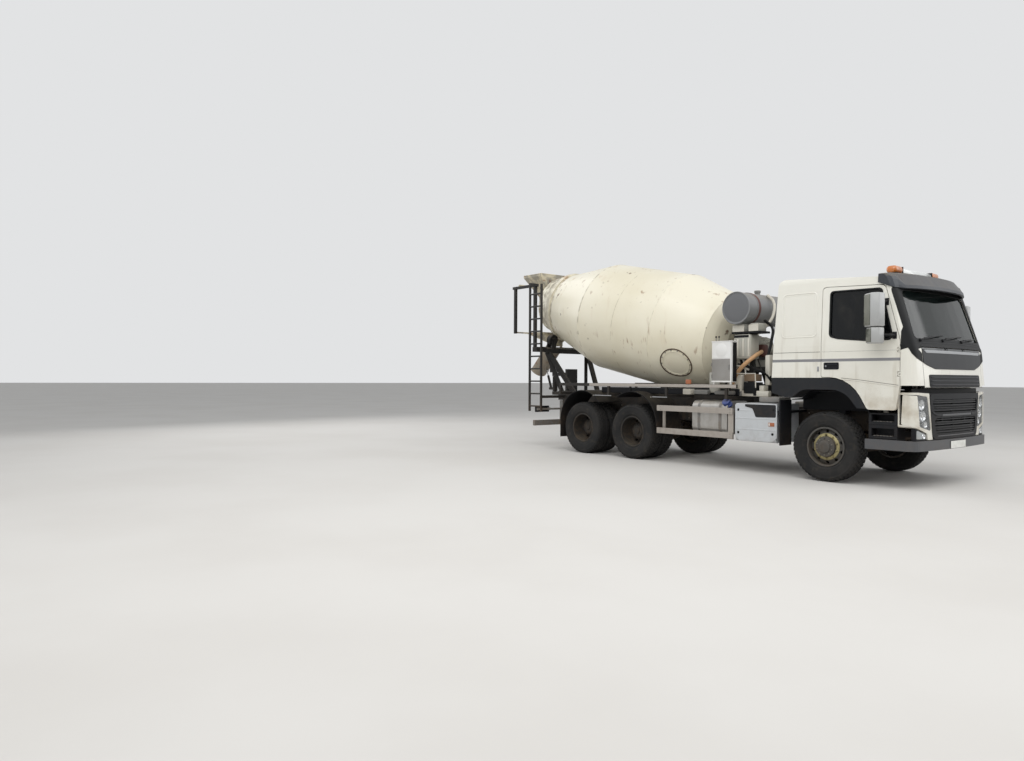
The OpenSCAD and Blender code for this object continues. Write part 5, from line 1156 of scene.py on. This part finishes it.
def tank_trim():
    """Straps, end rims and cap of the fuel tank."""
    def outline(inset, r):
        y0, y1, z0, z1 = -1.192 + inset, -0.548 - inset, 0.588 + inset, 1.172 - inset
        return [(y0, z0, r), (y1, z0, r), (y1, z1, r), (y0, z1, r)]

    shapes = [plate(outline(0, 0.13), "front", x, 0.05, "steel", 0.003, holes=[outline(0.008, 0.124)])
              for x in (-2.34, -1.90)]
    shapes += [plate(outline(0.006, 0.124), "front", x, 0.02, "tank", 0.008) for x in (-2.475, -1.765)]
    shapes.append(domed([(0, 0.05), (0.055, 0.05), (0.07, 0.04), (0.072, -0.02), (0.08, -0.026), (0.08, -0.06)], "blue",
                        (-1.80, -1.13, 1.135), (0, -0.7, 0.7), 32))
    piece("tank_straps", "chassis", "steel_grey", *shapes)


def both_sides(name, slot, drawn):
    """One piece on the chassis from shapes drawn on the right, there and on the left."""
    shapes = [moved(o, flip=flip) for flip in (False, True) for o in drawn]
    removed(*drawn)
    piece(name, "chassis", slot, *shapes)


def guard_trim():
    drawn = [hexagon((x, -1.243, z), (0, -1, 0), 0.009, 0.008, "bolt") for x in (-1.66, -3.165)
             for z in (0.57, 0.615, 0.98, 1.03)]
    drawn += blocks(*[(-3.252, -1.2425, z, -1.608, -1.2385, z + 0.006, "guard", 0.0015, 1)
                      for z in (0.571, 0.607, 0.984, 1.019)],
                    (-5.07, -1.2135, 1.391, -1.559, -1.2085, 1.446, "guard", 0.003, 1),
                    (-2.80, -1.06, 1.262, -2.62, -0.94, 1.362, "pale", 0.012, 2),
                    (-2.57, -1.04, 1.268, -2.27, -0.94, 1.350, "steel", 0.02, 2),
                    (-2.13, -1.04, 1.272, -1.75, -0.94, 1.340, "steel", 0.02, 2),
                    (-5.0, -0.93, 1.255, -1.70, -0.90, 1.372, "trim", 0.01, 1),
                    (-4.90, -1.236, 1.195, -4.43, -1.222, 1.212, "silver", 0.004, 1),
                    (-3.37, -1.236, 1.195, -3.02, -1.222, 1.212, "silver", 0.004, 1))
    drawn += [domed([(0, 0.006), (0.012, 0.004), (0.014, 0)], "bolt", (x, -1.233, 1.20), (0, -1, 0), 14)
              for x in (-4.93, -3.40)]
    drawn += blocks((-2.60, -1.23, 1.45, -2.49, -1.20, 1.53, "reflex", 0.006, 2))
    both_sides("side_fittings", "aluminium", drawn)


def step_trim():
    treads = [(0.712 + k * 0.046, z) for z in (0.945, 0.74) for k in range(6)]
    both_sides("step_treads", "trim_black", blocks(
        (0.652, -1.187, 0.700, 1.049, -1.176, 0.722, "steps", 0.005, 2),
        (0.652, -1.186, 0.900, 1.049, -1.178, 0.925, "steps", 0.004, 2),
        (0.648, -1.187, 1.045, 1.051, -1.176, 1.067, "trim", 0.006, 2),
        *[(x, -1.17, z - 0.002, x + 0.022, -1.06, z + 0.006, "steel", 0.002, 1) for x, z in treads],
        (-0.752, -1.222, 0.50, -0.745, -0.915, 1.20, "flap", 0.003, 1)))


def rear_details():
    """Treads of the ladder's rungs, the hopper's rim and its bolts."""
    shapes = [block((x, -1.137, z - 0.002), (x + 0.03, -1.103, z + 0.004), "steel", 0.0015, 1)
              for z in [0.93 + 0.28 * k for k in range(10)] for x in [-7.08 + 0.062 * j for j in range(6)]]

    def rim(x0, x1, half):
        return [(x0, -half, 0.02), (x1, -half, 0.02), (x1, half, 0.02), (x0, half, 0.02)]

    shapes.append(plate(rim(-8.056, -7.394, 0.546), "top", 4.008, 0.022, "hopper", 0.004,
                        holes=[rim(-8.030, -7.420, 0.520)]))
    shapes += [hexagon((x, side * 0.51, 3.93), (0, side, 0), 0.012, 0.012, "bolt")
               for side in (-1, 1) for x in (-7.9, -7.5)]
    piece("stand_fittings", "chassis", "drum_cream", *shapes)


def chassis_details():
    """Bolts of the frame, the rear springs' bellows and the leaves of the front springs."""
    bellows = [(0, 0.0), (0.07, 0.0), (0.088, 0.02), (0.09, 0.06), (0.082, 0.075), (0.09, 0.09), (0.088, 0.14),
               (0.06, 0.165), (0, 0.165)]
    shapes = []
    for side in (-1, 1):
        shapes += [hexagon((k * -0.35, side * 0.4275, z), (0, side, 0), 0.012, 0.01, "bolt")
                   for k in range(2, 19) for z in (0.80, 0.99)]
        shapes += [domed(bellows, "cast", (x + 0.30, side * 0.30, 0.62), (1, 0, 0.2), 28) for x in REAR_AXLES.values()]
        y = side * 0.425
        shapes += blocks(*[(-0.70 + 0.1 * k, y - 0.034, 0.694 - 0.014 * k, 0.70 - 0.1 * k, y + 0.034, 0.706 - 0.014 * k,
                            "cast", 0.002, 1) for k in range(5)])
    piece("frame_bolts", "chassis", "chassis_black", *shapes)


def dress():
    for part in (fit_tyres, fit_hubs, hatch_colours, cab_front_trim, screen_frame, cab_side_trim, mirrors, beacons,
                 headlamps, grille_trim, drum_details, tank_details, drive_details, control_box_details,
                 battery_details, tank_trim, guard_trim, step_trim, rear_details, chassis_details):
        part()


# Floor, backdrop and light

def light_world():
    """Pale where the camera looks, seen directly or by glass and shine; dimmer as the fill light."""
    world = bpy.context.scene.world or bpy.data.worlds.new("world")
    bpy.context.scene.world = world
    world.use_nodes = True
    nodes, links = world.node_tree.nodes, world.node_tree.links
    nodes.clear()
    path = nodes.new("ShaderNodeLightPath")
    seen, through = nodes.new("ShaderNodeMath"), nodes.new("ShaderNodeMath")
    seen.operation = through.operation = "MAXIMUM"
    fill, shown = nodes.new("ShaderNodeBackground"), nodes.new("ShaderNodeBackground")
    for light, colour, strength in ((fill, (0.93, 0.96, 1, 1), 0.55), (shown, srgb(226, 227, 228), 1.0)):
        light.inputs[0].default_value, light.inputs[1].default_value = colour, strength
    mix, out = nodes.new("ShaderNodeMixShader"), nodes.new("ShaderNodeOutputWorld")
    for source, goal in ((path.outputs["Is Camera Ray"], seen.inputs[0]),
                         (path.outputs["Is Glossy Ray"], seen.inputs[1]), (seen.outputs[0], through.inputs[0]),
                         (path.outputs["Is Transmission Ray"], through.inputs[1]),
                         (through.outputs[0], mix.inputs[0]), (fill.outputs[0], mix.inputs[1]),
                         (shown.outputs[0], mix.inputs[2]), (mix.outputs[0], out.inputs[0])):
        links.new(source, goal)


def studio():
    bpy.ops.mesh.primitive_plane_add(size=400)
    floor = bpy.context.object
    floor.name = "floor"
    pale = Finish("floor_pale", (206, 203, 198), 0.9)
    shifts(pale, (196, 192, 186), 0.5, 0.4)
    floor.data.materials.append(pale.done())
    light_world()
    for energy, size, spot, aim in ((1500, 14, (AXLE + 3, -9, 12), (0, 0, 1.5)),
                                    (700, 12, (AXLE + 9, 6, 8), (2, 0, 1.5)),
                                    (600, 12, (-12, -3, 9), (0, 0, 1.5))):
        bpy.ops.object.light_add(type="AREA", location=spot)
        lamp = bpy.context.object
        lamp.data.energy, lamp.data.size = energy, size
        lamp.rotation_euler = (Vector(aim) - Vector(spot)).to_track_quat("-Z", "Y").to_euler()


place_camera()
studio()
finish_nodes()
dress()

bpy.context.scene.view_settings.view_transform = "Standard"
bpy.context.view_layer.update()
